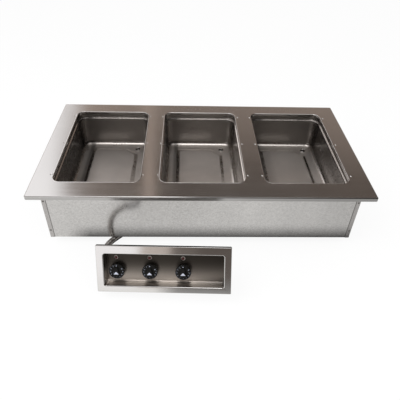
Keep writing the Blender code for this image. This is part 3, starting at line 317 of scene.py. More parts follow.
def galvanised(name, base=(0.55, 0.54, 0.53), rough=0.19, cell=260.0, seam=None):
    """Zinc-coated sheet: small spangle crystals of slightly different tone and gloss."""
    m = Mat(name)
    warp = m.noise(m.coords(), 30.0, 2.0)
    co = m.node("ShaderNodeVectorMath", operation="SCALE")
    m.link(m.coords(), co.inputs[0])
    co.inputs["Scale"].default_value = 1.0
    add = m.node("ShaderNodeVectorMath", operation="ADD")
    m.link(co.outputs[0], add.inputs[0])
    off = m.node("ShaderNodeCombineXYZ")
    for i in range(3):
        m.link(m.math("MULTIPLY", m.remap(warp, -0.5, 0.5), 0.02), off.inputs[i])
    m.link(off.outputs[0], add.inputs[1])
    v = m.node("ShaderNodeTexVoronoi", feature="F1")
    v.inputs["Scale"].default_value = cell
    m.link(add.outputs[0], v.inputs["Vector"])
    sep = m.node("ShaderNodeSeparateColor")
    m.link(v.outputs["Color"], sep.inputs[0])
    cellv = sep.outputs[0]
    fine = m.noise(m.coords(), 240.0, 3.0, 0.6)
    streak = m.noise(m.coords((14, 14, 2.0)), 1.0, 4.0, 0.6)
    t = m.math("ADD", m.math("MULTIPLY", cellv, 0.55), m.math("MULTIPLY", fine, 0.25))
    t = m.math("ADD", t, m.math("MULTIPLY", streak, 0.35))
    col = m.mix(m.remap(t, 0.0, 1.0, 0.2, 0.95), tuple(c * 0.87 for c in base), tuple(min(1, c * 1.14) for c in base))
    if seam is not None:
        # painted shadow: a dark line drawn along the joint where the end panel laps over this one, for the shade of the
        # gap
        sx = m.node("ShaderNodeSeparateXYZ")
        m.link(m.coords(), sx.inputs[0])
        d = m.math("ABSOLUTE", m.math("SUBTRACT", m.math("ABSOLUTE", sx.outputs[0]), seam))
        line = m.remap(d, 1.0, 0.0, 0.0006, 0.0030)
        col = m.mix(m.math("MULTIPLY", line, 0.75), col, (0.06, 0.055, 0.05))
    m.set("Base Color", col)
    m.set("Metallic", 1.0)
    m.set("Roughness", m.math("ADD", m.math("MULTIPLY", m.math("ADD", m.remap(cellv, -0.5, 0.5), m.remap(fine, -0.4, 0.4)), 0.05), rough))
    m.set("Normal", m.bump(m.math("ADD", m.math("MULTIPLY", cellv, 0.5), fine), 0.03, 0.0003))
    return m.m


def plain_metal(name, base, rough, scale=120.0, amount=0.08, bump=0.05, throat=None):
    m = Mat(name)
    n1 = m.noise(m.coords(), scale, 4.0, 0.6)
    n2 = m.noise(m.coords(), scale * 0.15, 3.0, 0.6)
    col = m.mix(n2, tuple(c * (1 - amount) for c in base), tuple(min(1, c * (1 + amount)) for c in base))
    if throat is not None:
        # painted shade: black inside the bore, about the piece's own axis, for the dark of the drain hole
        q = m.node("ShaderNodeSeparateXYZ")
        m.link(m.coords(), q.inputs[0])
        rad = m.math("SQRT", m.math("ADD", m.math("MULTIPLY", q.outputs[0], q.outputs[0]), m.math("MULTIPLY", q.outputs[1], q.outputs[1])))
        col = m.mix(m.remap(rad, 0.0, 1.0, throat - 0.0003, throat + 0.0003), (0.018, 0.017, 0.016), col)
    m.set("Base Color", col)
    m.set("Metallic", 1.0)
    m.set("Roughness", m.math("ADD", m.math("MULTIPLY", m.remap(n1, -0.5, 0.5), 0.12), rough))
    m.set("Normal", m.bump(n1, bump, 0.0002))
    return m.m


def moulded(name, base, rough, scale=700.0, coat=0.0, wear=(0.08, 0.08, 0.08), spec=0.5):
    """Moulded plastic: fine orange-peel, slight tone drift and lighter rubbed edges."""
    m = Mat(name)
    n1 = m.noise(m.coords(), scale, 2.0, 0.5)
    n2 = m.noise(m.coords(), 40.0, 4.0, 0.6)
    col = m.mix(m.remap(n2, 0.0, 1.0, 0.3, 0.7), tuple(c * 0.85 for c in base), tuple(min(1, c * 1.15) for c in base))
    col = m.mix(m.math("MULTIPLY", edge_mask(m, 0.0006), 0.45), col, wear)
    m.set("Base Color", col)
    m.set("Roughness", m.math("ADD", m.math("MULTIPLY", m.remap(n2, -0.5, 0.5), 0.16), rough))
    m.set("Specular IOR Level", spec)
    m.set("Coat Weight", coat)
    m.set("Coat Roughness", 0.15)
    m.set("Normal", m.bump(n1, 0.04, 0.0002))
    return m.m


def blanket(name, base):
    m = Mat(name)
    n1 = m.noise(m.coords((1, 1, 6)), 90.0, 6.0, 0.7, 1.2)
    n2 = m.noise(m.coords(), 12.0, 3.0, 0.6)
    col = m.mix(n1, tuple(c * 0.7 for c in base), tuple(min(1, c * 1.2) for c in base))
    col = m.mix(m.math("MULTIPLY", n2, 0.4), col, tuple(c * 0.8 for c in base))
    m.set("Base Color", col)
    m.set("Roughness", 0.95)
    m.set("Sheen Weight", 0.3)
    m.set("Normal", m.bump(n1, 0.6, 0.004))
    return m.m


def lens_material(name):
    m = Mat(name)
    v = m.node("ShaderNodeTexVoronoi", feature="F1")
    v.inputs["Scale"].default_value = 900.0
    m.link(m.coords(), v.inputs["Vector"])
    lw = m.node("ShaderNodeLayerWeight")
    lw.inputs["Blend"].default_value = 0.45
    col = m.mix(lw.outputs["Facing"], (0.05, 0.003, 0.003), (0.13, 0.010, 0.009))
    m.set("Base Color", col)
    m.set("Roughness", 0.14)
    m.set("Transmission Weight", 0.15)
    m.set("Coat Weight", 0.15)
    m.set("Coat Roughness", 0.10)
    m.set("Normal", m.bump(v.outputs["Distance"], 0.25, 0.0003))
    return m.m


STEEL = (0.62, 0.61, 0.60)
M_DECK = brushed("deck_brushed", STEEL, 0.165, 0, (0, 1, 0), 0.80, 0.6)
M_WELL = drawn_steel("well_drawn", (0.615, 0.58, 0.55), 0.33)
M_BEZEL = bezel_steel("bezel_brushed", STEEL)
M_GALV = galvanised("casing_galvanised", seam=CASE_HX - 0.015)
M_GALV_STRIP = galvanised("corner_galvanised", (0.45, 0.435, 0.425), 0.34)
M_GALV_BOX = galvanised("box_galvanised", (0.52, 0.51, 0.50), 0.36)
M_SATIN = plain_metal("satin_steel", (0.64, 0.62, 0.60), 0.20, 300.0)
M_DRAIN = plain_metal("drain_steel", (0.70, 0.68, 0.66), 0.16, 300.0, 0.06, 0.03, 0.0084)
M_CHROME = plain_metal("lamp_chrome", (0.52, 0.48, 0.45), 0.36, 400.0, 0.03, 0.02)
M_ZINC = plain_metal("zinc_plated", (0.56, 0.56, 0.57), 0.30, 220.0)
M_HOSE = plain_metal("hose_zinc", (0.50, 0.48, 0.46), 0.24, 260.0, 0.12)
# painted shade: the rivet heads are toned near black to stand in for the dark of the rivet holes
M_RIVET = plain_metal("rivet_dull", (0.16, 0.15, 0.14), 0.42, 300.0)
M_BRASS = plain_metal("nut_brass", (0.62, 0.44, 0.18), 0.30, 240.0)
M_ELEMENT = plain_metal("element_sheath", (0.17, 0.155, 0.15), 0.46, 160.0, 0.25)
M_KNOB = moulded("knob_phenolic", (0.006, 0.0058, 0.0055), 0.50, 900.0, 0.0, (0.016, 0.0155, 0.015), 0.16)
M_MARK = moulded("knob_marking", (0.31, 0.33, 0.40), 0.45, 1200.0, 0.0, (0.45, 0.46, 0.52))
M_POINTER = moulded("knob_pointer", (0.46, 0.48, 0.57), 0.45, 1200.0, 0.0, (0.78, 0.79, 0.86))
M_TERMINAL = moulded("terminal_moulding", (0.02, 0.02, 0.022), 0.45)
M_SWITCH = moulded("switch_moulding", (0.66, 0.61, 0.50), 0.48, 500.0, 0.0, (0.8, 0.78, 0.7))
M_RUBBER = moulded("seal_rubber", (0.03, 0.03, 0.03), 0.70, 400.0)
M_WIRE = moulded("wire_sleeve", (0.03, 0.03, 0.034), 0.50, 600.0)
M_WOOL = blanket("glass_wool", (0.78, 0.68, 0.34))
M_LENS = lens_material("lamp_lens_red")


# ------------------------------------------------------------------ mesh kit
def rrect(cx, cy, hx, hy, r, z, seg=10):
    r = max(r, 0.0004)
    pts = []
    for ox, oy, a0 in ((hx - r, hy - r, 0), (-hx + r, hy - r, 90), (-hx + r, -hy + r, 180), (hx - r, -hy + r, 270)):
        for i in range(seg + 1):
            a = math.radians(a0 + 90.0 * i / seg)
            pts.append(Vector((cx + ox + r * math.cos(a), cy + oy + r * math.sin(a), z)))
    return pts


def circle(cx, cy, r, z, n=48):
    return [Vector((cx + r * math.cos(2 * math.pi * i / n), cy + r * math.sin(2 * math.pi * i / n), z)) for i in range(n)]


def flat(pts):
    return [Vector((p.x, p.z, p.y)) for p in pts]


def ring(bm, pts):
    return [bm.verts.new(p) for p in pts]


def bridge(bm, a, b):
    n = len(a)
    for i in range(n):
        j = (i + 1) % n
        bm.faces.new((a[i], a[j], b[j], b[i]))


def chain(bm, rings):
    for a, b in zip(rings[:-1], rings[1:]):
        bridge(bm, a, b)


def fill(bm, *rings):
    edges = []
    for r in rings:
        for i in range(len(r)):
            a, b = r[i], r[(i + 1) % len(r)]
            edges.append(bm.edges.get((a, b)) or bm.edges.new((a, b)))
    bmesh.ops.triangle_fill(bm, use_beauty=True, use_dissolve=False, edges=edges)


def offset_profile(pts, t):
    out = []
    for i, p in enumerate(pts):
        a, b = pts[max(i - 1, 0)], pts[min(i + 1, len(pts) - 1)]
        n = Vector((0, 0))
        for q, s in ((a, p), (p, b)):
            d = Vector((s[0] - q[0], s[1] - q[1]))
            if d.length > 1e-9:
                d.normalize()
                n += Vector((d.y, -d.x))
        n.normalize()
        k = 1.0
        d = Vector((b[0] - p[0], b[1] - p[1]))
        if 0 < i < len(pts) - 1 and d.length > 1e-9:
            d.normalize()
            k = 1.0 / max(0.5, n.dot(Vector((d.y, -d.x))))
        out.append((p[0] + n.x * t * k, p[1] + n.y * t * k))
    return out


def piece(bm, name, mats, body="unit", matrix=None, angle=35.0, replaces=()):
    bmesh.ops.recalc_face_normals(bm, faces=bm.faces)
    me = bpy.data.meshes.new(name)
    bm.to_mesh(me)
    bm.free()
    me.shade_smooth()
    me.set_sharp_from_angle(angle=math.radians(angle))
    ob = bpy.data.objects.new(name, me)
    COL.objects.link(ob)
    for m in (mats if isinstance(mats, (list, tuple)) else [mats]):
        me.materials.append(m)
    if matrix is not None:
        ob.matrix_world = matrix
    w = ob.modifiers.new("flat_normals", "WEIGHTED_NORMAL")
    w.keep_sharp = True
    w.weight = 80
    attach(ob, body)
    if replaces:
        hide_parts(*replaces)
    return ob


def lathe_bm(profile, n=48, closed=True):
    bm = bmesh.new()
    rings = []
    for r, z in profile:
        rings.append([bm.verts.new((0, 0, z))] if r < 1e-7 else ring(bm, circle(0, 0, r, z, n)))
    pairs = list(zip(rings[:-1], rings[1:]))
    if closed:
        pairs.append((rings[-1], rings[0]))
    for a, b in pairs:
        if len(a) == 1 and len(b) == 1:
            continue
        if len(a) == 1 or len(b) == 1:
            one, many = (a, b) if len(a) == 1 else (b, a)
            for i in range(n):
                bm.faces.new((one[0], many[i], many[(i + 1) % n]))
        else:
            bridge(bm, a, b)
    return bm


def sweep_rings(bm, path, radius, n):
    rings = []
    t = (path[1] - path[0]).normalized()
    ref = Vector((0, 0, 1)) if abs(t.z) < 0.9 else Vector((1, 0, 0))
    u = t.cross(ref).normalized()
    for i, p in enumerate(path):
        a, b = path[max(i - 1, 0)], path[min(i + 1, len(path) - 1)]
        t2 = (b - a).normalized()
        u = (u - t2 * u.dot(t2)).normalized()
        w = t2.cross(u)
        pts = []
        for k in range(n):
            r = radius(i, k) if callable(radius) else radius
            pts.append(p + (u * math.cos(2 * math.pi * k / n) + w * math.sin(2 * math.pi * k / n)) * r)
        rings.append(ring(bm, pts))
    return rings


def hermite(points, t0, t1, steps):
    n = len(points)
    tang = []
    for i in range(n):
        if i == 0:
            tang.append(t0.normalized() * (points[1] - points[0]).length)
        elif i == n - 1:
            tang.append(t1.normalized() * (points[-1] - points[-2]).length)
        else:
            tang.append((points[i + 1] - points[i - 1]) * 0.5)
    out = []
    for i in range(n - 1):
        for s in range(steps):
            u = s / steps
            out.append(points[i] * (2 * u ** 3 - 3 * u ** 2 + 1) + tang[i] * (u ** 3 - 2 * u ** 2 + u) + points[i + 1] * (-2 * u ** 3 + 3 * u ** 2) + tang[i + 1] * (u ** 3 - u ** 2))
    out.append(points[-1].copy())
    return out


def resample(path, step):
    out = [path[0].copy()]
    acc = 0.0
    for a, b in zip(path[:-1], path[1:]):
        d = (b - a).length
        while acc + d >= step:
            t = (step - acc) / d
            a = a.lerp(b, t)
            out.append(a.copy())
            d = (b - a).length
            acc = 0.0
        acc += d
    if (out[-1] - path[-1]).length > step * 0.3:
        out.append(path[-1].copy())
    return out


def deck_dimple(bm, cx, cy, r=0.0045, depth=0.0016, n=20):
    # shallow dish left by a weld stud under the sheet
    rs = [ring(bm, circle(cx, cy, r * f, H - d, n)) for f, d in ((1.0, 0.0), (0.72, depth * 0.6), (0.42, depth))]
    chain(bm, rs)
    fill(bm, rs[-1])
    return rs[0]


# ------------------------------------------------------------------ deck
def build_deck():
    bm = bmesh.new()
    rc = 0.006

    def outer(o, z):
        return rrect(0, 0, DECK_HX - o, DECK_HY - o, rc - o, z, 6)

    prof = [(DECK_R - DECK_R * math.sin(math.radians(a)), H - DECK_R + DECK_R * math.cos(math.radians(a))) for a in range(0, 91, 10)]
    prof += [(0, H - LIP + 0.0008), (0.0008, H - LIP), (LIP_RETURN, H - LIP), (LIP_RETURN, H - LIP + DECK_T), (DECK_T, H - LIP + DECK_T)]
    ri = DECK_R - DECK_T
    prof += [(DECK_R - ri * math.sin(math.radians(a)), H - DECK_R + ri * math.cos(math.radians(a))) for a in (90, 60, 30, 0)]
    out = [ring(bm, outer(o, z)) for o, z in prof]
    chain(bm, out)
    tops, unders = [out[0]], [out[-1]]
    ro, ri2 = 0.0028, 0.0013
    for k in (-1, 0, 1):
        cx = k * PITCH
        p = [(0.0052, H), (0.0046, H + 0.00006), (0.0040, H + 0.0002), (0.0034, H + 0.00036), (ro, H + 0.00042)]
        p += [(ro - ro * math.sin(math.radians(a)), H - ro + (ro + 0.00042) * math.cos(math.radians(a))) for a in range(15, 91, 15)]
        p += [(0, H - 0.0094), (0.0004, H - 0.0098), (DECK_T, H - 0.0098)]
        p += [(ro - ri2 * math.sin(math.radians(a)), H - ro + ri2 * math.cos(math.radians(a))) for a in (90, 45, 0)]
        rs = [ring(bm, rrect(cx, OPEN_CY, OPEN_HX + e, OPEN_HY + e, OPEN_R + e, z, 12)) for e, z in p]
        chain(bm, rs)
        tops.append(rs[0])
        unders.append(rs[-1])
        for sx in (-1, 1):
            for dy in (0.215, 0.0, -0.212):
                tops.append(deck_dimple(bm, cx + sx * 0.1640, OPEN_CY + dy))
    fill(bm, *tops)
    fill(bm, *unders)
    return piece(bm, "deck_fine", M_DECK, replaces=("top_plate",))


# ------------------------------------------------------------------ wells
def platform_loop(cx, cy, hx, hy, cutx, cuty, r, z, q=6):
    corners = [Vector((hx, -hy)), Vector((hx, hy - cuty)), Vector((hx - cutx, hy)), Vector((-hx, hy)), Vector((-hx, -hy))]
    pts = []
    n = len(corners)
    for i, c in enumerate(corners):
        a = (corners[i - 1] - c).normalized()
        b = (corners[(i + 1) % n] - c).normalized()
        half = math.acos(max(-1, min(1, a.dot(b)))) / 2
        d = min(r / math.tan(half), 0.03)
        rr = d * math.tan(half)
        mid = (a + b).normalized() * (rr / math.sin(half))
        s, e = (a * d - mid), (b * d - mid)
        ang = s.angle(e)
        for k in range(q + 1):
            t = k / q
            v = (s * math.sin((1 - t) * ang) + e * math.sin(t * ang)) / math.sin(ang)
            pts.append(Vector((cx + c.x + mid.x + v.x, cy + c.y + mid.y + v.y, z)))
    return pts


def dome(bm, centre, axis, r, h, n=16):
    # small closed button standing on a wall: a weld stud's head
    q = axis.to_track_quat("Z", "Y")
    rs = []
    for f, z in ((0.7, -0.0006), (1.0, -0.0006), (1.0, h * 0.15), (0.86, h * 0.6), (0.55, h * 0.92)):
        rs.append(ring(bm, [centre + q @ Vector((r * f * math.cos(2 * math.pi * i / n), r * f * math.sin(2 * math.pi * i / n), z)) for i in range(n)]))
    chain(bm, rs)
    fill(bm, rs[0])
    fill(bm, rs[-1])


def build_well(k):
    cx, cy = (k - 2) * PITCH, OPEN_CY
    bm = bmesh.new()
    top = H - DECK_T - 0.0003
    zf = H - WELL_DEPTH
    rf = 0.020
    inner = [(0.018, top), (0.0085, top), (0.0072, top - 0.0005), (0.0062, top - 0.0016), (0.0058, top - 0.003), (0.0058, H - 0.0255)]
    inner += [(0.0055, H - 0.0284), (0.0046, H - 0.0296), (0.0030, H - 0.0303), (0.0014, H - 0.0309), (0.0001, H - 0.0318), (-0.0009, H - 0.0334), (-0.0015, H - 0.0385)]
    ew = -0.0035
    inner += [(ew - rf + rf * math.cos(math.radians(a)), zf + rf - rf * math.sin(math.radians(a))) for a in range(0, 91, 9)]
    outer = offset_profile(inner, -WELL_T)
    outer[0] = (inner[0][0], inner[0][1] - WELL_T)
    outer[-1] = (inner[-1][0], zf - WELL_T)

    def loop(e, z):
        return ring(bm, rrect(cx, cy, OPEN_HX + e, OPEN_HY + e, OPEN_R + 0.006 + e, z, 12))

    a = [loop(e, z) for e, z in inner]
    b = [loop(e, z) for e, z in outer]
    chain(bm, a)
    chain(bm, b)
    bridge(bm, a[0], b[0])
    px, py, sl = 0.105, 0.2035, 0.018
    first = None
    for rg, dz, sh in ((a[-1], 0.0, 0.0), (b[-1], -WELL_T, 0.0004)):
        loops = []
        for t in range(0, 9):
            f = t / 8
            # an even ramp, eased only at its foot and its brow
            g = 0.14
            s = (f * f / (2 * g) if f < g else f - g / 2 if f < 1 - g else 1 - g - (1 - f) ** 2 / (2 * g)) / (1 - g)
            loops.append(ring(bm, platform_loop(cx, cy, px - sl * f - sh, py - sl * f - sh, 0.048 - 0.006 * f, 0.046 - 0.006 * f, 0.014, zf + dz + PLATFORM_H * s)))
        chain(bm, loops)
        fill(bm, loops[-1])
        # the floor meets the drain through rings round its hole, level with the floor
        d2 = ring(bm, circle(cx + DRAIN_DX, cy + DRAIN_DY, 0.0172, zf + dz, 36))
        d1 = ring(bm, circle(cx + DRAIN_DX, cy + DRAIN_DY, 0.0150, zf + dz, 36))
        d0 = ring(bm, circle(cx + DRAIN_DX, cy + DRAIN_DY, 0.0101, zf + dz, 36))
        chain(bm, [d2, d1, d0])
        fill(bm, rg, loops[0], d2)
        if first is None:
            first = d0
        else:
            bridge(bm, first, d0)
    # stud head low on the right-hand wall
    dome(bm, Vector((cx + OPEN_HX - 0.0032, cy + 0.111, H - 0.101)), Vector((-1, 0, 0.02)), 0.0042, 0.0022)
    return piece(bm, "well_fine_%d" % k, M_WELL, replaces=("well_%d" % k,), angle=40)


def build_drain(k):
    cx, cy = (k - 2) * PITCH + DRAIN_DX, OPEN_CY + DRAIN_DY
    f = H - WELL_DEPTH + 0.0003
    m = Matrix.Translation((cx, cy, 0))
    prof = [(0.0082, f - 0.0050), (0.0086, f - 0.0030), (0.0092, f - 0.0008), (0.0098, f + 0.0014), (0.0104, f + 0.0027), (0.0111, f + 0.0031), (0.0118, f + 0.0026), (0.0125, f + 0.0012), (0.0127, f), (0.0096, f), (0.0096, f - 0.0030)]
    z = f - 0.004
    while z > 0.006:
        prof += [(0.0096, z), (0.0091, z - 0.0007), (0.0096, z - 0.0014)]
        z -= 0.0018
    prof += [(0.0094, 0.004), (0.0082, 0.004)]
    piece(lathe_bm(prof, 40), "drain_fine_%d" % k, M_DRAIN, matrix=m, replaces=("drain_fitting_%d" % k,), angle=40)
    # cross strainer set in the throat
    bm = bmesh.new()
    for rot in (0, 1):
        lo = (-0.0080, -0.0009, f - 0.0076)
        hi = (0.0080, 0.0009, f - 0.0060)
        vs = [bm.verts.new(Vector((x, y, z)) if rot == 0 else Vector((y, x, z - 0.0018))) for x in (lo[0], hi[0]) for y in (lo[1], hi[1]) for z in (lo[2], hi[2])]
        for q in ((0, 1, 3, 2), (4, 6, 7, 5), (0, 4, 5, 1), (2, 3, 7, 6), (0, 2, 6, 4), (1, 5, 7, 3)):
            bm.faces.new([vs[i] for i in q])
    bmesh.ops.bevel(bm, geom=bm.edges[:], offset=0.0003, segments=2, affect="EDGES", profile=0.5)
    piece(bm, "drain_strainer_%d" % k, M_SATIN, matrix=m)


# ------------------------------------------------------------------ rivets
def build_rivets():
    n = 0
    for sy in (-1, 1):
        for sd, z in RIVETS:
            n += 1
            m = Matrix.Translation((sd * (CASE_HX - 0.0072), sy * (CASE_HY + 0.00005), z)) @ Matrix.Rotation(math.radians(-90 if sy > 0 else 90), 4, "X")
            prof = [(0, 0.0010), (0.0007, 0.0010), (0.0010, 0.00145), (0.0014, 0.0015), (0.0020, 0.00135), (0.0027, 0.0010), (0.0032, 0.0005), (0.0034, 0.0), (0.0018, 0.0), (0.0018, -0.0036), (0, -0.0036)]
            piece(lathe_bm(prof, 28, False), "rivet_fine_%d" % n, M_RIVET, matrix=m, replaces=("rivet_%d" % n,), angle=45)


# ------------------------------------------------------------------ control box
def on_panel(x, z, y=0.0):
    return BOXM @ Matrix.Translation((x, y, z)) @ Matrix.Rotation(math.radians(90), 4, "X")


def build_bezel():
    bm = bmesh.new()
    hx, hy, t = BEZ_W / 2, BEZ_H / 2, BEZ_T

    def L(o, d):
        return ring(bm, flat(rrect(0, BEZ_DY, hx - o, hy - o, 0.0030 - o, d, 6)))

    def I(e, d, r=None, ex=None):
        return ring(bm, flat(rrect(0, 0, BEZ_OPEN_HX + (e if ex is None else ex), BEZ_OPEN_HY + e, max(0.006 + e, 0.001) if r is None else r, d, 6)))

    outer = [L(0.0018, 0), L(0.0011, 0.00014), L(0.0005, 0.0005), L(0.00014, 0.0011), L(0, 0.0018), L(0, BEZ_RETURN), L(t, BEZ_RETURN), L(t, 0.0020), L(0.0022, t)]
    ro, rb = 0.003, 0.008
    a = [I(ro - ro * math.sin(math.radians(q)), ro - ro * math.cos(math.radians(q))) for q in range(0, 91, 15)]
    a += [I(-0.0004, RECESS - rb)]
    # soft bends above and below; the ends are let in nearly square, with a small weld fillet
    def tray(q):
        d = RECESS - rb + rb * math.sin(math.radians(q))
        w = 0.0015
        s = min(max((d - (RECESS - w)) / w, 0.0), 1.0)
        return I(-0.0004 - rb + rb * math.cos(math.radians(q)), d, 0.004, -0.0004 - w * (1 - math.sqrt(max(1 - s * s, 0.0))))

    a += [tray(q) for q in (10, 20, 30, 40, 50, 60, 66, 72, 78, 84, 90)]
    b = [I(ro, t), I(t + 0.0004, ro), I(t, RECESS - rb)]
    rb2 = rb + t
    b += [I(-0.0004 - rb + rb2 * math.cos(math.radians(q)), RECESS - rb + rb2 * math.sin(math.radians(q)), 0.004, ex) for q, ex in ((30, t), (60, t - 0.0001), (90, -0.0004))]
    chain(bm, outer)
    chain(bm, a)
    chain(bm, b)
    bridge(bm, outer[0], a[0])
    bridge(bm, outer[-1], b[0])
    front, back = [a[-1]], [b[-1]]
    for kx, lx in zip(KNOB_X, LAMP_X):
        for xc, zc, r in ((kx, KNOB_Y, 0.0052), (lx, LAMP_Y, 0.0062)):
            p = ring(bm, flat(circle(xc, zc, r, RECESS, 28)))
            q = ring(bm, flat(circle(xc, zc, r, RECESS + t, 28)))
            bridge(bm, p, q)
            front.append(p)
            back.append(q)
    for sx in (-1, 1):
        p = ring(bm, flat(circle(sx * (COVER_HX + 0.0045), 0, 0.0019, RECESS + t, 20)))
        q = ring(bm, flat(circle(sx * (COVER_HX + 0.0045), 0, 0.0019, RECESS + t + 0.0085, 20)))
        bridge(bm, p, q)
        fill(bm, q)
        back.append(p)
    fill(bm, *front)
    fill(bm, *back)
    return piece(bm, "bezel_fine", M_BEZEL, matrix=BOXM, replaces=("control_bezel",), angle=32)


def text_mesh(bm, body, size, depth, place):
    # generic numerals from the built-in font, as closed solids
    cu = bpy.data.curves.new("glyph", "FONT")
    cu.body = body
    cu.size = size
    cu.align_x = "CENTER"
    cu.align_y = "CENTER"
    cu.extrude = depth
    cu.offset = size * 0.018
    cu.resolution_u = 3
    ob = bpy.data.objects.new("glyph", cu)
    COL.objects.link(ob)
    dg = bpy.context.evaluated_depsgraph_get()
    me = bpy.data.meshes.new_from_object(ob.evaluated_get(dg))
    me.transform(place)
    bm.from_mesh(me)
    bpy.data.objects.remove(ob, do_unlink=True)
    bpy.data.curves.remove(cu)
    bpy.data.meshes.remove(me)


def prism(bm, outline, z0, z1):
    a = ring(bm, [Vector((x, y, z0)) for x, y in outline])
    b = ring(bm, [Vector((x, y, z1)) for x, y in outline])
    bridge(bm, a, b)
    fill(bm, a)
    fill(bm, b)


def build_knob(k):
    x = KNOB_X[k - 1]
    m = on_panel(x, KNOB_Y, 0.0)
    R, n = KNOB_R, 120
    bm = bmesh.new()

    def K(r, z, flute=0.0):
        pts = []
        for i in range(n):
            a = 2 * math.pi * i / n
            c = 0.5 + 0.5 * math.cos(a * 30)
            rr = r - flute * (c ** 3)
            pts.append(Vector((rr * math.cos(a), rr * math.sin(a), z)))
        return ring(bm, pts)

    fl = 0.0007
    hub = [K(0.0033, -0.0350), K(0.0150, -0.0350), K(0.0161, -0.0346), K(0.0165, -0.0338), K(0.0170, -0.0250), K(0.0176, -0.0246), K(R - 0.0012, -0.0246), K(R - 0.0003, -0.0243, fl),
           K(R, -0.0237, fl), K(R, -0.0230, fl), K(R - 0.0003, -0.0220, fl), K(R - 0.0011, -0.0212, fl), K(R - 0.0022, -0.0208, 0.0), K(R - 0.0038, -0.0205), K(R - 0.0090, -0.0200)]
    bore = K(0.0033, -0.0226)
    chain(bm, hub)
    bridge(bm, bore, hub[0])
    fill(bm, bore)
    gs = []
    for hx, hy, z in ((0.0098, 0.0182, -0.0200), (0.0093, 0.0177, -0.0197), (0.0090, 0.0174, -0.0190), (0.0085, 0.0169, -0.0142), (0.0083, 0.0167, -0.0134), (0.0078, 0.0162, -0.0129), (0.0072, 0.0156, -0.0128)):
        gs.append(ring(bm, [Vector((p.x * (1 - 0.38 * p.y / hy), p.y, p.z)) for p in rrect(0, 0, hx, hy, 0.0055, z, 10)]))
    chain(bm, gs)
    fill(bm, gs[-1])
    fill(bm, hub[-1], gs[0])
    piece(bm, "knob_fine_%d" % k, M_KNOB, body="control_%d" % k, matrix=m, replaces=("knob_%d" % k,), angle=38)
    # filled dial marks: numerals, ticks and a plain pointer
    bm = bmesh.new()
    for i in range(11):
        a = math.radians(90 + 30 * i)
        rr = 0.0200
        place = Matrix.Translation((rr * math.cos(a), rr * math.sin(a), -0.02005)) @ Matrix.Rotation(a - math.pi / 2, 4, "Z")
        if i:
            text_mesh(bm, str(i), 0.0046, 0.00025, place)
        else:
            prism(bm, [(-0.0016, 0.0186), (0.0016, 0.0186), (0.0016, 0.0214), (-0.0016, 0.0214)], -0.0203, -0.0198)
    for i in range(22):
        a = math.radians(90 + 15 * i)
        if i > 20:
            continue
        c, s = math.cos(a), math.sin(a)
        r0, r1, w = 0.0232, 0.0246, 0.00022
        z0, z1 = -0.0210, -0.02045
        prism(bm, [(r0 * c - w * s, r0 * s + w * c), (r0 * c + w * s, r0 * s - w * c), (r1 * c + w * s, r1 * s - w * c), (r1 * c - w * s, r1 * s + w * c)], z0, z1)
    piece(bm, "knob_marks_%d" % k, M_MARK, body="control_%d" % k, matrix=m, angle=30)
    bm = bmesh.new()
    prism(bm, [(-0.0086, -0.0074), (0.0086, -0.0074), (0.0007, 0.0012), (-0.0007, 0.0012)], -0.0130, -0.01265)
    piece(bm, "knob_pointer_%d" % k, M_POINTER, body="control_%d" % k, matrix=m, angle=30)


def build_lamp(k):
    m = on_panel(LAMP_X[k - 1], LAMP_Y, 0.0)
    f = -(RECESS - 0.0002)
    ringp = [(0.0053, f + 0.0024), (0.0056, f + 0.0030), (0.0062, f + 0.0031), (0.0069, f + 0.0026), (0.0075, f + 0.0016), (0.0079, f + 0.0006), (0.0079, f), (0.0059, f), (0.0059, -0.0560), (0.0054, -0.0560)]
    piece(lathe_bm(ringp, 48), "lamp_ring_fine_%d" % k, M_CHROME, matrix=m, replaces=("lamp_ring_%d" % k,), angle=45)
    lens = [(0, f + 0.0052), (0.0009, f + 0.00515), (0.0018, f + 0.0049), (0.0027, f + 0.0045), (0.0035, f + 0.0039), (0.0042, f + 0.0031), (0.0047, f + 0.0021), (0.0050, f + 0.0009), (0.0051, f - 0.0010), (0.0051, -0.0580), (0, -0.0580)]
    piece(lathe_bm(lens, 40, False), "lamp_lens_fine_%d" % k, M_LENS, matrix=m, replaces=("lamp_lens_%d" % k,), angle=45)


# ------------------------------------------------------------------ conduit
ELBOW_R, ELBOW_RI, BEND, Q = 0.0130, 0.0085, 0.016, 0.012
OUT_PAN = Vector((-0.63, -0.777, 0.0)).normalized()
C0 = Vector((-0.275, -0.214, -0.0225))
PAN_ELBOW = Vector((C0.x - OUT_PAN.x * (BEND + Q), C0.y - OUT_PAN.y * (BEND + Q), 0.0))


def bend_path(start, d_in, d_out, lead, tail, n=10):
    corner0 = start + d_in * lead
    centre = corner0 + d_out * BEND
    pts = [start, corner0]
    for i in range(1, n + 1):
        a = math.radians(90 * i / n)
        pts.append(centre - d_out * (BEND * math.cos(a)) + d_in * (BEND * math.sin(a)))
    pts.append(pts[-1] + d_out * tail)
    return pts


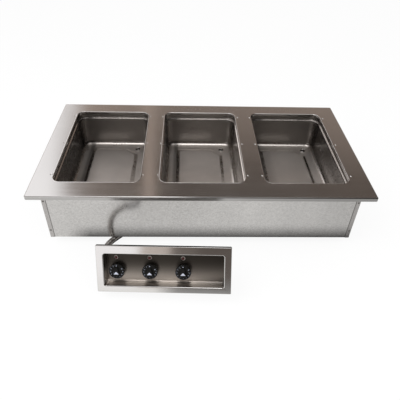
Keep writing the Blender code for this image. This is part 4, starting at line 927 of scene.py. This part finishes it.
def elbow(name, node, start, d_in, d_out, thread, lead):
    body = bend_path(start, d_in, d_out, lead, Q - 0.001)
    bm = bmesh.new()
    n = 36
    path, rad = [], []
    s = -thread
    while s < -0.0012:
        path += [start + d_in * s, start + d_in * (s + 0.0006)]
        rad += [0.0108, 0.0103]
        s += 0.0012
    path += [start + d_in * -0.0004, start + d_in * 0.00030, start + d_in * 0.00032, start + d_in * 0.0008, start + d_in * 0.0030, start + d_in * 0.0034]
    rad += [0.0108, 0.0108, 0.0144, 0.0150, 0.0150, ELBOW_R]
    path += body[1:]
    rad += [ELBOW_R] * (len(body) - 1)
    e = path[-1]
    for ds, r in ((0.0006, 0.0142), (0.0012, 0.0146), (0.0070, 0.0146), (0.0076, 0.0142), (0.0082, 0.0146), (0.0125, 0.0146), (0.0131, 0.0141)):
        path.append(e + d_out * ds)
        rad.append(r)
    end = path[-1]
    outer = sweep_rings(bm, path, lambda i, k: rad[i], n)
    ipath = [path[0], start + d_in * 0.003] + body[1:] + [end - d_out * 0.0118, end - d_out * 0.0116, end]
    irad = [ELBOW_RI] * (len(ipath) - 2) + [0.0118, 0.0118]
    inner = sweep_rings(bm, ipath, lambda i, k: irad[i], n)
    chain(bm, outer)
    chain(bm, inner)
    bridge(bm, outer[0], inner[0])
    bridge(bm, outer[-1], inner[-1])
    piece(bm, name, M_ZINC, replaces=(node,), angle=40)
    return body, body[-1] + d_out * 0.0131


def build_conduit():
    down = Vector((0, 0, -1))
    r3 = BOXM.to_3x3()
    back = (r3 @ Vector((0, 1, 0))).normalized()
    left = (r3 @ Vector((-1, 0, 0))).normalized()
    body1, end1 = elbow("elbow_casing_fine", "conduit_elbow_casing", PAN_ELBOW.copy(), down, OUT_PAN, 0.0075, 0.0065)
    body2, end2 = elbow("elbow_box_fine", "conduit_elbow_box", BOXM @ Vector((BOX_ELBOW_X, COVER_D, 0)), back, left, 0.0060, 0.0065)
    a = end1 - OUT_PAN * 0.0112
    b = end2 - left * 0.0112
    mid = [Vector((-0.3310, -0.2825, -0.0165)), Vector((-0.3455, -0.3130, -0.0070)), Vector((-0.3535, -0.3425, 0.0010)),
           Vector((-0.3552, -0.3680, 0.0090)), Vector((-0.3475, -0.3950, 0.0180)), Vector((-0.3280, -0.4150, 0.0270))]
    pts = [end1 + OUT_PAN * 0.002] + mid + [end2 + left * 0.002]
    path = [a, end1] + hermite(pts, OUT_PAN, -left, 12) + [end2, b]
    step, n, pitch = 0.00065, 28, 0.0052
    path = resample(path, step)
    bm = bmesh.new()

    def outer_r(i, k):
        # strip-wound, interlocked: a flat crown and a rolled groove that climbs round the hose
        ph = (i * step / pitch - k / n) % 1.0
        if ph < 0.62:
            g = 0.06 * (abs(ph - 0.31) / 0.31) ** 3
        else:
            q = (ph - 0.62) / 0.38
            g = 0.06 + 0.62 * math.sin(math.pi * q) ** 0.8
        return CONDUIT_R - 0.0016 * g

    outer = sweep_rings(bm, path, outer_r, n)
    inner = sweep_rings(bm, path, CONDUIT_RI - 0.0005, n)
    chain(bm, outer)
    chain(bm, inner)
    bridge(bm, outer[0], inner[0])
    bridge(bm, outer[-1], inner[-1])
    piece(bm, "conduit_fine", M_HOSE, replaces=("flex_conduit",), angle=60)


build_deck()
for k in (1, 2, 3):
    build_well(k)
    build_drain(k)
    build_knob(k)
    build_lamp(k)
build_rivets()
build_bezel()
build_conduit()

# ------------------------------------------------------------------ CAD nodes that stay, with their materials
KEEP = {
    "casing_front": M_GALV, "casing_rear": M_GALV, "casing_bottom_pan": M_GALV,
    "casing_end_left": M_GALV_STRIP, "casing_end_right": M_GALV_STRIP,
    "control_box_cover": M_GALV_BOX, "cover_nut": M_ZINC, "drain_gasket": M_RUBBER, "drain_nut": M_BRASS,
    "element_strap": M_ZINC, "heating_element": M_ELEMENT, "insulation": M_WOOL, "knob_shaft": M_ZINC,
    "terminal_block": M_TERMINAL, "thermostat": M_SWITCH, "wire_bundle": M_WIRE,
}
for name, ob in NODES.items():
    for key, mat in KEEP.items():
        if name.startswith(key):
            ob.data.materials.clear()
            ob.data.materials.append(mat)
            break

# the control box would smear a dark patch over the casing's soft reflection
for name, ob in NODES.items():
    if name.startswith(("control_box_cover", "cover_nut", "thermostat", "terminal_block", "wire_bundle")):
        ob.visible_glossy = False

# ------------------------------------------------------------------ floor
lo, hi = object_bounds()
FLOOR_Z = lo.z if hasattr(lo, "z") else lo[2]
bm = bmesh.new()
bmesh.ops.create_grid(bm, x_segments=8, y_segments=8, size=7.0)
me = bpy.data.meshes.new("floor")
bm.to_mesh(me)
bm.free()
floor = bpy.data.objects.new("floor", me)
COL.objects.link(floor)
floor.location = (0, 0, FLOOR_Z - 0.0005)
fm = Mat("floor_pale")
# painted shadow and painted light: in reflections the floor carries a painted contact shadow along the casing front and
# painted shade on part of the far floor and toward the right, and reads as pale paper to the eye
sx = fm.node("ShaderNodeSeparateXYZ")
fm.link(fm.coords(), sx.inputs[0])
ahead = fm.math("SUBTRACT", -CASE_HY, sx.outputs[1])
near = fm.remap(ahead, 0.0, 1.0, 0.030, 0.104)
side = fm.remap(sx.outputs[0], 0.0, 1.0, -0.53, -0.44)
side = fm.math("MULTIPLY", side, fm.math("MULTIPLY", fm.remap(sx.outputs[0], 1.0, 0.0, 0.62, 0.74), fm.remap(sx.outputs[1], 1.0, 0.0, 0.26, 0.40)))
shade = fm.math("SUBTRACT", 1.0, fm.math("MULTIPLY", fm.math("SUBTRACT", 1.0, near), fm.math("MULTIPLY", side, 0.96)))
away = fm.math("MULTIPLY", sx.outputs[1], -1.0)
lean = fm.math("DIVIDE", fm.math("ADD", sx.outputs[0], 0.13), fm.math("MAXIMUM", fm.math("SUBTRACT", away, 0.53), 0.05))
dim = fm.math("MULTIPLY", fm.remap(away, 0.0, 1.0, 0.80, 1.50), fm.remap(lean, 0.0, 1.0, -0.23, -0.12))
shade = fm.math("MULTIPLY", shade, fm.math("SUBTRACT", 1.0, fm.math("MULTIPLY", dim, 0.58)))
shade = fm.math("MULTIPLY", shade, fm.remap(sx.outputs[0], 1.0, 0.78, 0.22, 0.62))
paper = fm.mix(fm.noise(fm.coords(), 2.0, 3.0), (0.76, 0.755, 0.745), (0.79, 0.785, 0.775))
fm.set("Base Color", fm.mix(shade, (0.0, 0.0, 0.0), paper))
fm.set("Roughness", 0.9)
fm.set("Specular IOR Level", 0.0)
pale = fm.node("ShaderNodeEmission")
pale.inputs["Color"].default_value = (1, 1, 1, 1)
pale.inputs["Strength"].default_value = 1.0
eye = fm.node("ShaderNodeLightPath")
plain = fm.node("ShaderNodeBsdfDiffuse")
plain.inputs["Color"].default_value = (0.86, 0.86, 0.86, 1)
soft = fm.node("ShaderNodeMixShader")
soft.inputs[0].default_value = 0.90
fm.link(plain.outputs[0], soft.inputs[1])
fm.link(pale.outputs[0], soft.inputs[2])
pick = fm.node("ShaderNodeMixShader")
fm.link(eye.outputs["Is Camera Ray"], pick.inputs[0])
# painted light: rays other than the camera's see the floor mostly as a glow in its painted-shade colour, boosted toward
# the far left, not as a lit surface
lit = fm.node("ShaderNodeEmission")
fm.link(fm.p.inputs["Base Color"].links[0].from_socket, lit.inputs["Color"])
fm.link(fm.math("ADD", fm.math("MULTIPLY", fm.remap(lean, 0.0, 1.0, -0.12, -0.24), fm.math("MULTIPLY", fm.remap(away, 0.0, 1.0, 0.80, 1.50), 0.36)), 1.21), lit.inputs["Strength"])
even = fm.node("ShaderNodeMixShader")
even.inputs[0].default_value = 0.85
fm.link(fm.p.outputs[0], even.inputs[1])
fm.link(lit.outputs[0], even.inputs[2])
fm.link(even.outputs[0], pick.inputs[1])
fm.link(soft.outputs[0], pick.inputs[2])
fm.link(pick.outputs[0], fm.nt.nodes["Material Output"].inputs["Surface"])
me.materials.append(fm.m)

# ------------------------------------------------------------------ light
w = bpy.data.worlds.new("studio")
SCENE.world = w
w.use_nodes = True
nt = w.node_tree
nt.nodes.clear()


def wn(kind, **props):
    n = nt.nodes.new(kind)
    for k, v in props.items():
        setattr(n, k, v)
    return n


def wmath(op, a, b=None, c=None, clamp=False):
    n = wn("ShaderNodeMath", operation=op, use_clamp=clamp)
    for i, v in enumerate((a, b, c)):
        if v is None:
            continue
        if isinstance(v, (int, float)):
            n.inputs[i].default_value = v
        else:
            nt.links.new(v, n.inputs[i])
    return n.outputs[0]


def wstep(v, a, b):
    n = wn("ShaderNodeMapRange", interpolation_type="SMOOTHSTEP")
    for key, val in (("Value", v), ("From Min", a), ("From Max", b)):
        if isinstance(val, (int, float)):
            n.inputs[key].default_value = val
        else:
            nt.links.new(val, n.inputs[key])
    return n.outputs["Result"]


tc = wn("ShaderNodeTexCoord")
sp = wn("ShaderNodeSeparateXYZ")
nt.links.new(tc.outputs["Generated"], sp.inputs[0])
X, Y, Z = sp.outputs
# a soft box high on the left that wraps overhead, a second one low on the left in front, and a dim warm room
def wmask(v, a, b):
    return wstep(v, a, b)


def wmul(*v):
    out = v[0]
    for q in v[1:]:
        out = wmath("MULTIPLY", out, q)
    return out


z4 = wmath("POWER", wmath("MAXIMUM", Z, 0.0), 4.0)
edge = wmath("ADD", wmath("ADD", wmath("MULTIPLY", z4, 0.34), -0.330), wmath("MULTIPLY", wmath("SUBTRACT", 1.0, wstep(Z, 0.42, 0.60)), 0.082))
dx = wmath("SUBTRACT", X, edge)
back = wmask(Y, -0.25, 0.10)
high = wmask(Z, 0.18, 0.40)
inner = wmath("SUBTRACT", 1.0, wmask(dx, -0.022, 0.030))
outer = wmask(X, -0.62, -0.50)
top = wmask(Z, 0.80, 0.93)
sky = wmul(inner, wmath("MAXIMUM", outer, top), high, back)
glow = wmul(wmath("SUBTRACT", 1.0, wmask(dx, 0.0, 0.22)), high, back)
# front: bright panel on the left, pale strip beside it, brighter toward the floor line
front = wmath("SUBTRACT", 1.0, back)
fbox = wmul(front, wmath("SUBTRACT", 1.0, wmask(X, -0.253, -0.236)), wmath("SUBTRACT", 1.0, wmask(Z, 0.30, 0.55)))
fglow = wmul(front, wmath("SUBTRACT", 1.0, wmask(X, -0.183, -0.166)), wmath("SUBTRACT", 1.0, wmask(Z, 0.30, 0.55)))
fhor = wmul(front, wmath("SUBTRACT", 1.0, wmask(Z, 0.05, 0.22)))
# narrow strip light at the back
st = wmath("ABSOLUTE", wmath("SUBTRACT", X, -0.085))
strip = wmul(wmath("SUBTRACT", 1.0, wmask(st, 0.002, wmath("SUBTRACT", 0.026, wmath("MULTIPLY", wmask(Z, 0.50, 0.62), 0.010)))), back)
low = wmath("SUBTRACT", 1.0, wmask(Z, 0.42, 0.60))
far = wmask(X, 0.36, 0.60)
over = wmul(wmask(Z, 0.80, 0.95), wmath("SUBTRACT", 1.0, wmask(X, 0.05, 0.50)))
lamp = wmul(wmask(Z, 0.83, 0.96), wmath("SUBTRACT", 1.0, wmath("MULTIPLY", wmask(st, 0.035, 0.14), wmath("SUBTRACT", 1.0, wmath("MULTIPLY", wmask(X, -0.085, -0.08), 0.35)))))
room = wmath("ADD", 0.085, wmul(low, back, 0.30))
room = wmath("ADD", room, wmul(strip, wmath("ADD", 0.12, wmath("MULTIPLY", wmask(Z, 0.50, 0.62), 0.50))))
room = wmath("ADD", room, wmul(glow, 0.13))
ahead = wmul(fglow, 0.50)
ahead = wmath("ADD", ahead, wmul(front, wmath("SUBTRACT", 1.0, wmask(X, -0.125, -0.10)), wmath("SUBTRACT", 1.0, wmask(Z, 0.30, 0.55)), 0.06))
ahead = wmath("ADD", ahead, wmul(front, wmath("SUBTRACT", 1.0, wmask(Z, 0.30, 0.55)), 0.035))
ahead = wmath("ADD", ahead, wmul(fhor, 0.03))
room = wmath("MULTIPLY", room, wmath("SUBTRACT", 1.0, wmul(far, 0.72)))
left_box = wmath("MAXIMUM", sky, fbox)
ceiling = wmath("ADD", wmath("MULTIPLY", over, 0.90), wmath("MULTIPLY", lamp, 2.6))
warm = wn("ShaderNodeCombineColor")
for i, (kr, ka) in enumerate(((1.0, 1.0), (0.80, 0.89), (0.68, 0.82))):
    tinted = wmath("ADD", wmath("MULTIPLY", room, kr), wmath("MULTIPLY", ahead, ka))
    nt.links.new(wmath("ADD", tinted, ceiling), warm.inputs[i])
mixc = wn("ShaderNodeMix", data_type="RGBA")
nt.links.new(left_box, mixc.inputs[0])
nt.links.new(warm.outputs[0], mixc.inputs[6])
mixc.inputs[7].default_value = (1.30, 1.28, 1.29, 1.0)
glossy_bg = wn("ShaderNodeBackground")
nt.links.new(mixc.outputs[2], glossy_bg.inputs["Color"])
cam_bg = wn("ShaderNodeBackground")
cam_bg.inputs["Color"].default_value = (1, 1, 1, 1)
dif_bg = wn("ShaderNodeBackground")
dif_bg.inputs["Color"].default_value = (0.80, 0.80, 0.80, 1)
lp = wn("ShaderNodeLightPath")
m1 = wn("ShaderNodeMixShader")
nt.links.new(lp.outputs["Is Glossy Ray"], m1.inputs[0])
nt.links.new(dif_bg.outputs[0], m1.inputs[1])
nt.links.new(glossy_bg.outputs[0], m1.inputs[2])
m2 = wn("ShaderNodeMixShader")
nt.links.new(lp.outputs["Is Camera Ray"], m2.inputs[0])
nt.links.new(m1.outputs[0], m2.inputs[1])
nt.links.new(cam_bg.outputs[0], m2.inputs[2])
ow = wn("ShaderNodeOutputWorld")
nt.links.new(m2.outputs[0], ow.inputs["Surface"])


def area(name, loc, aim, size, power, glossy=False):
    li = bpy.data.lights.new(name, "AREA")
    li.shape = "RECTANGLE"
    li.size, li.size_y = size
    li.energy = power
    ob = bpy.data.objects.new(name, li)
    COL.objects.link(ob)
    ob.location = loc
    ob.rotation_euler = (Vector(aim) - Vector(loc)).to_track_quat("-Z", "Y").to_euler()
    ob.visible_glossy = glossy
    return ob


area("key_soft", (-1.6, -1.2, 2.6), (0, 0, 0.1), (2.2, 2.2), 60)
area("fill_soft", (1.8, -1.6, 2.2), (0, 0, 0.1), (2.0, 2.0), 22)

# ------------------------------------------------------------------ camera
cam = bpy.data.cameras.new("camera")
cam.sensor_fit = "HORIZONTAL"
cam.sensor_width = 36.0
cam.lens = 425.6 / 400.0 * 36.0
cam.clip_start = 0.05
cam.clip_end = 50
co = bpy.data.objects.new("camera", cam)
COL.objects.link(co)
right = Vector((0.99937498, -0.02316774, 0.02670036))
down = Vector((0.0054368, -0.64558714, -0.76366726))
fwd = Vector((0.03492985, 0.76333512, -0.64505768))
mw = Matrix.Identity(4)
for i in range(3):
    mw[i][0], mw[i][1], mw[i][2] = right[i], -down[i], -fwd[i]
mw.translation = Vector((-0.0625, -1.4471, 0.931 + H))
co.matrix_world = mw
cam.shift_x, cam.shift_y = -0.3 / 400, 0.35 / 400
SCENE.camera = co
SCENE.view_settings.view_transform = "Standard"
SCENE.view_settings.look = "None"
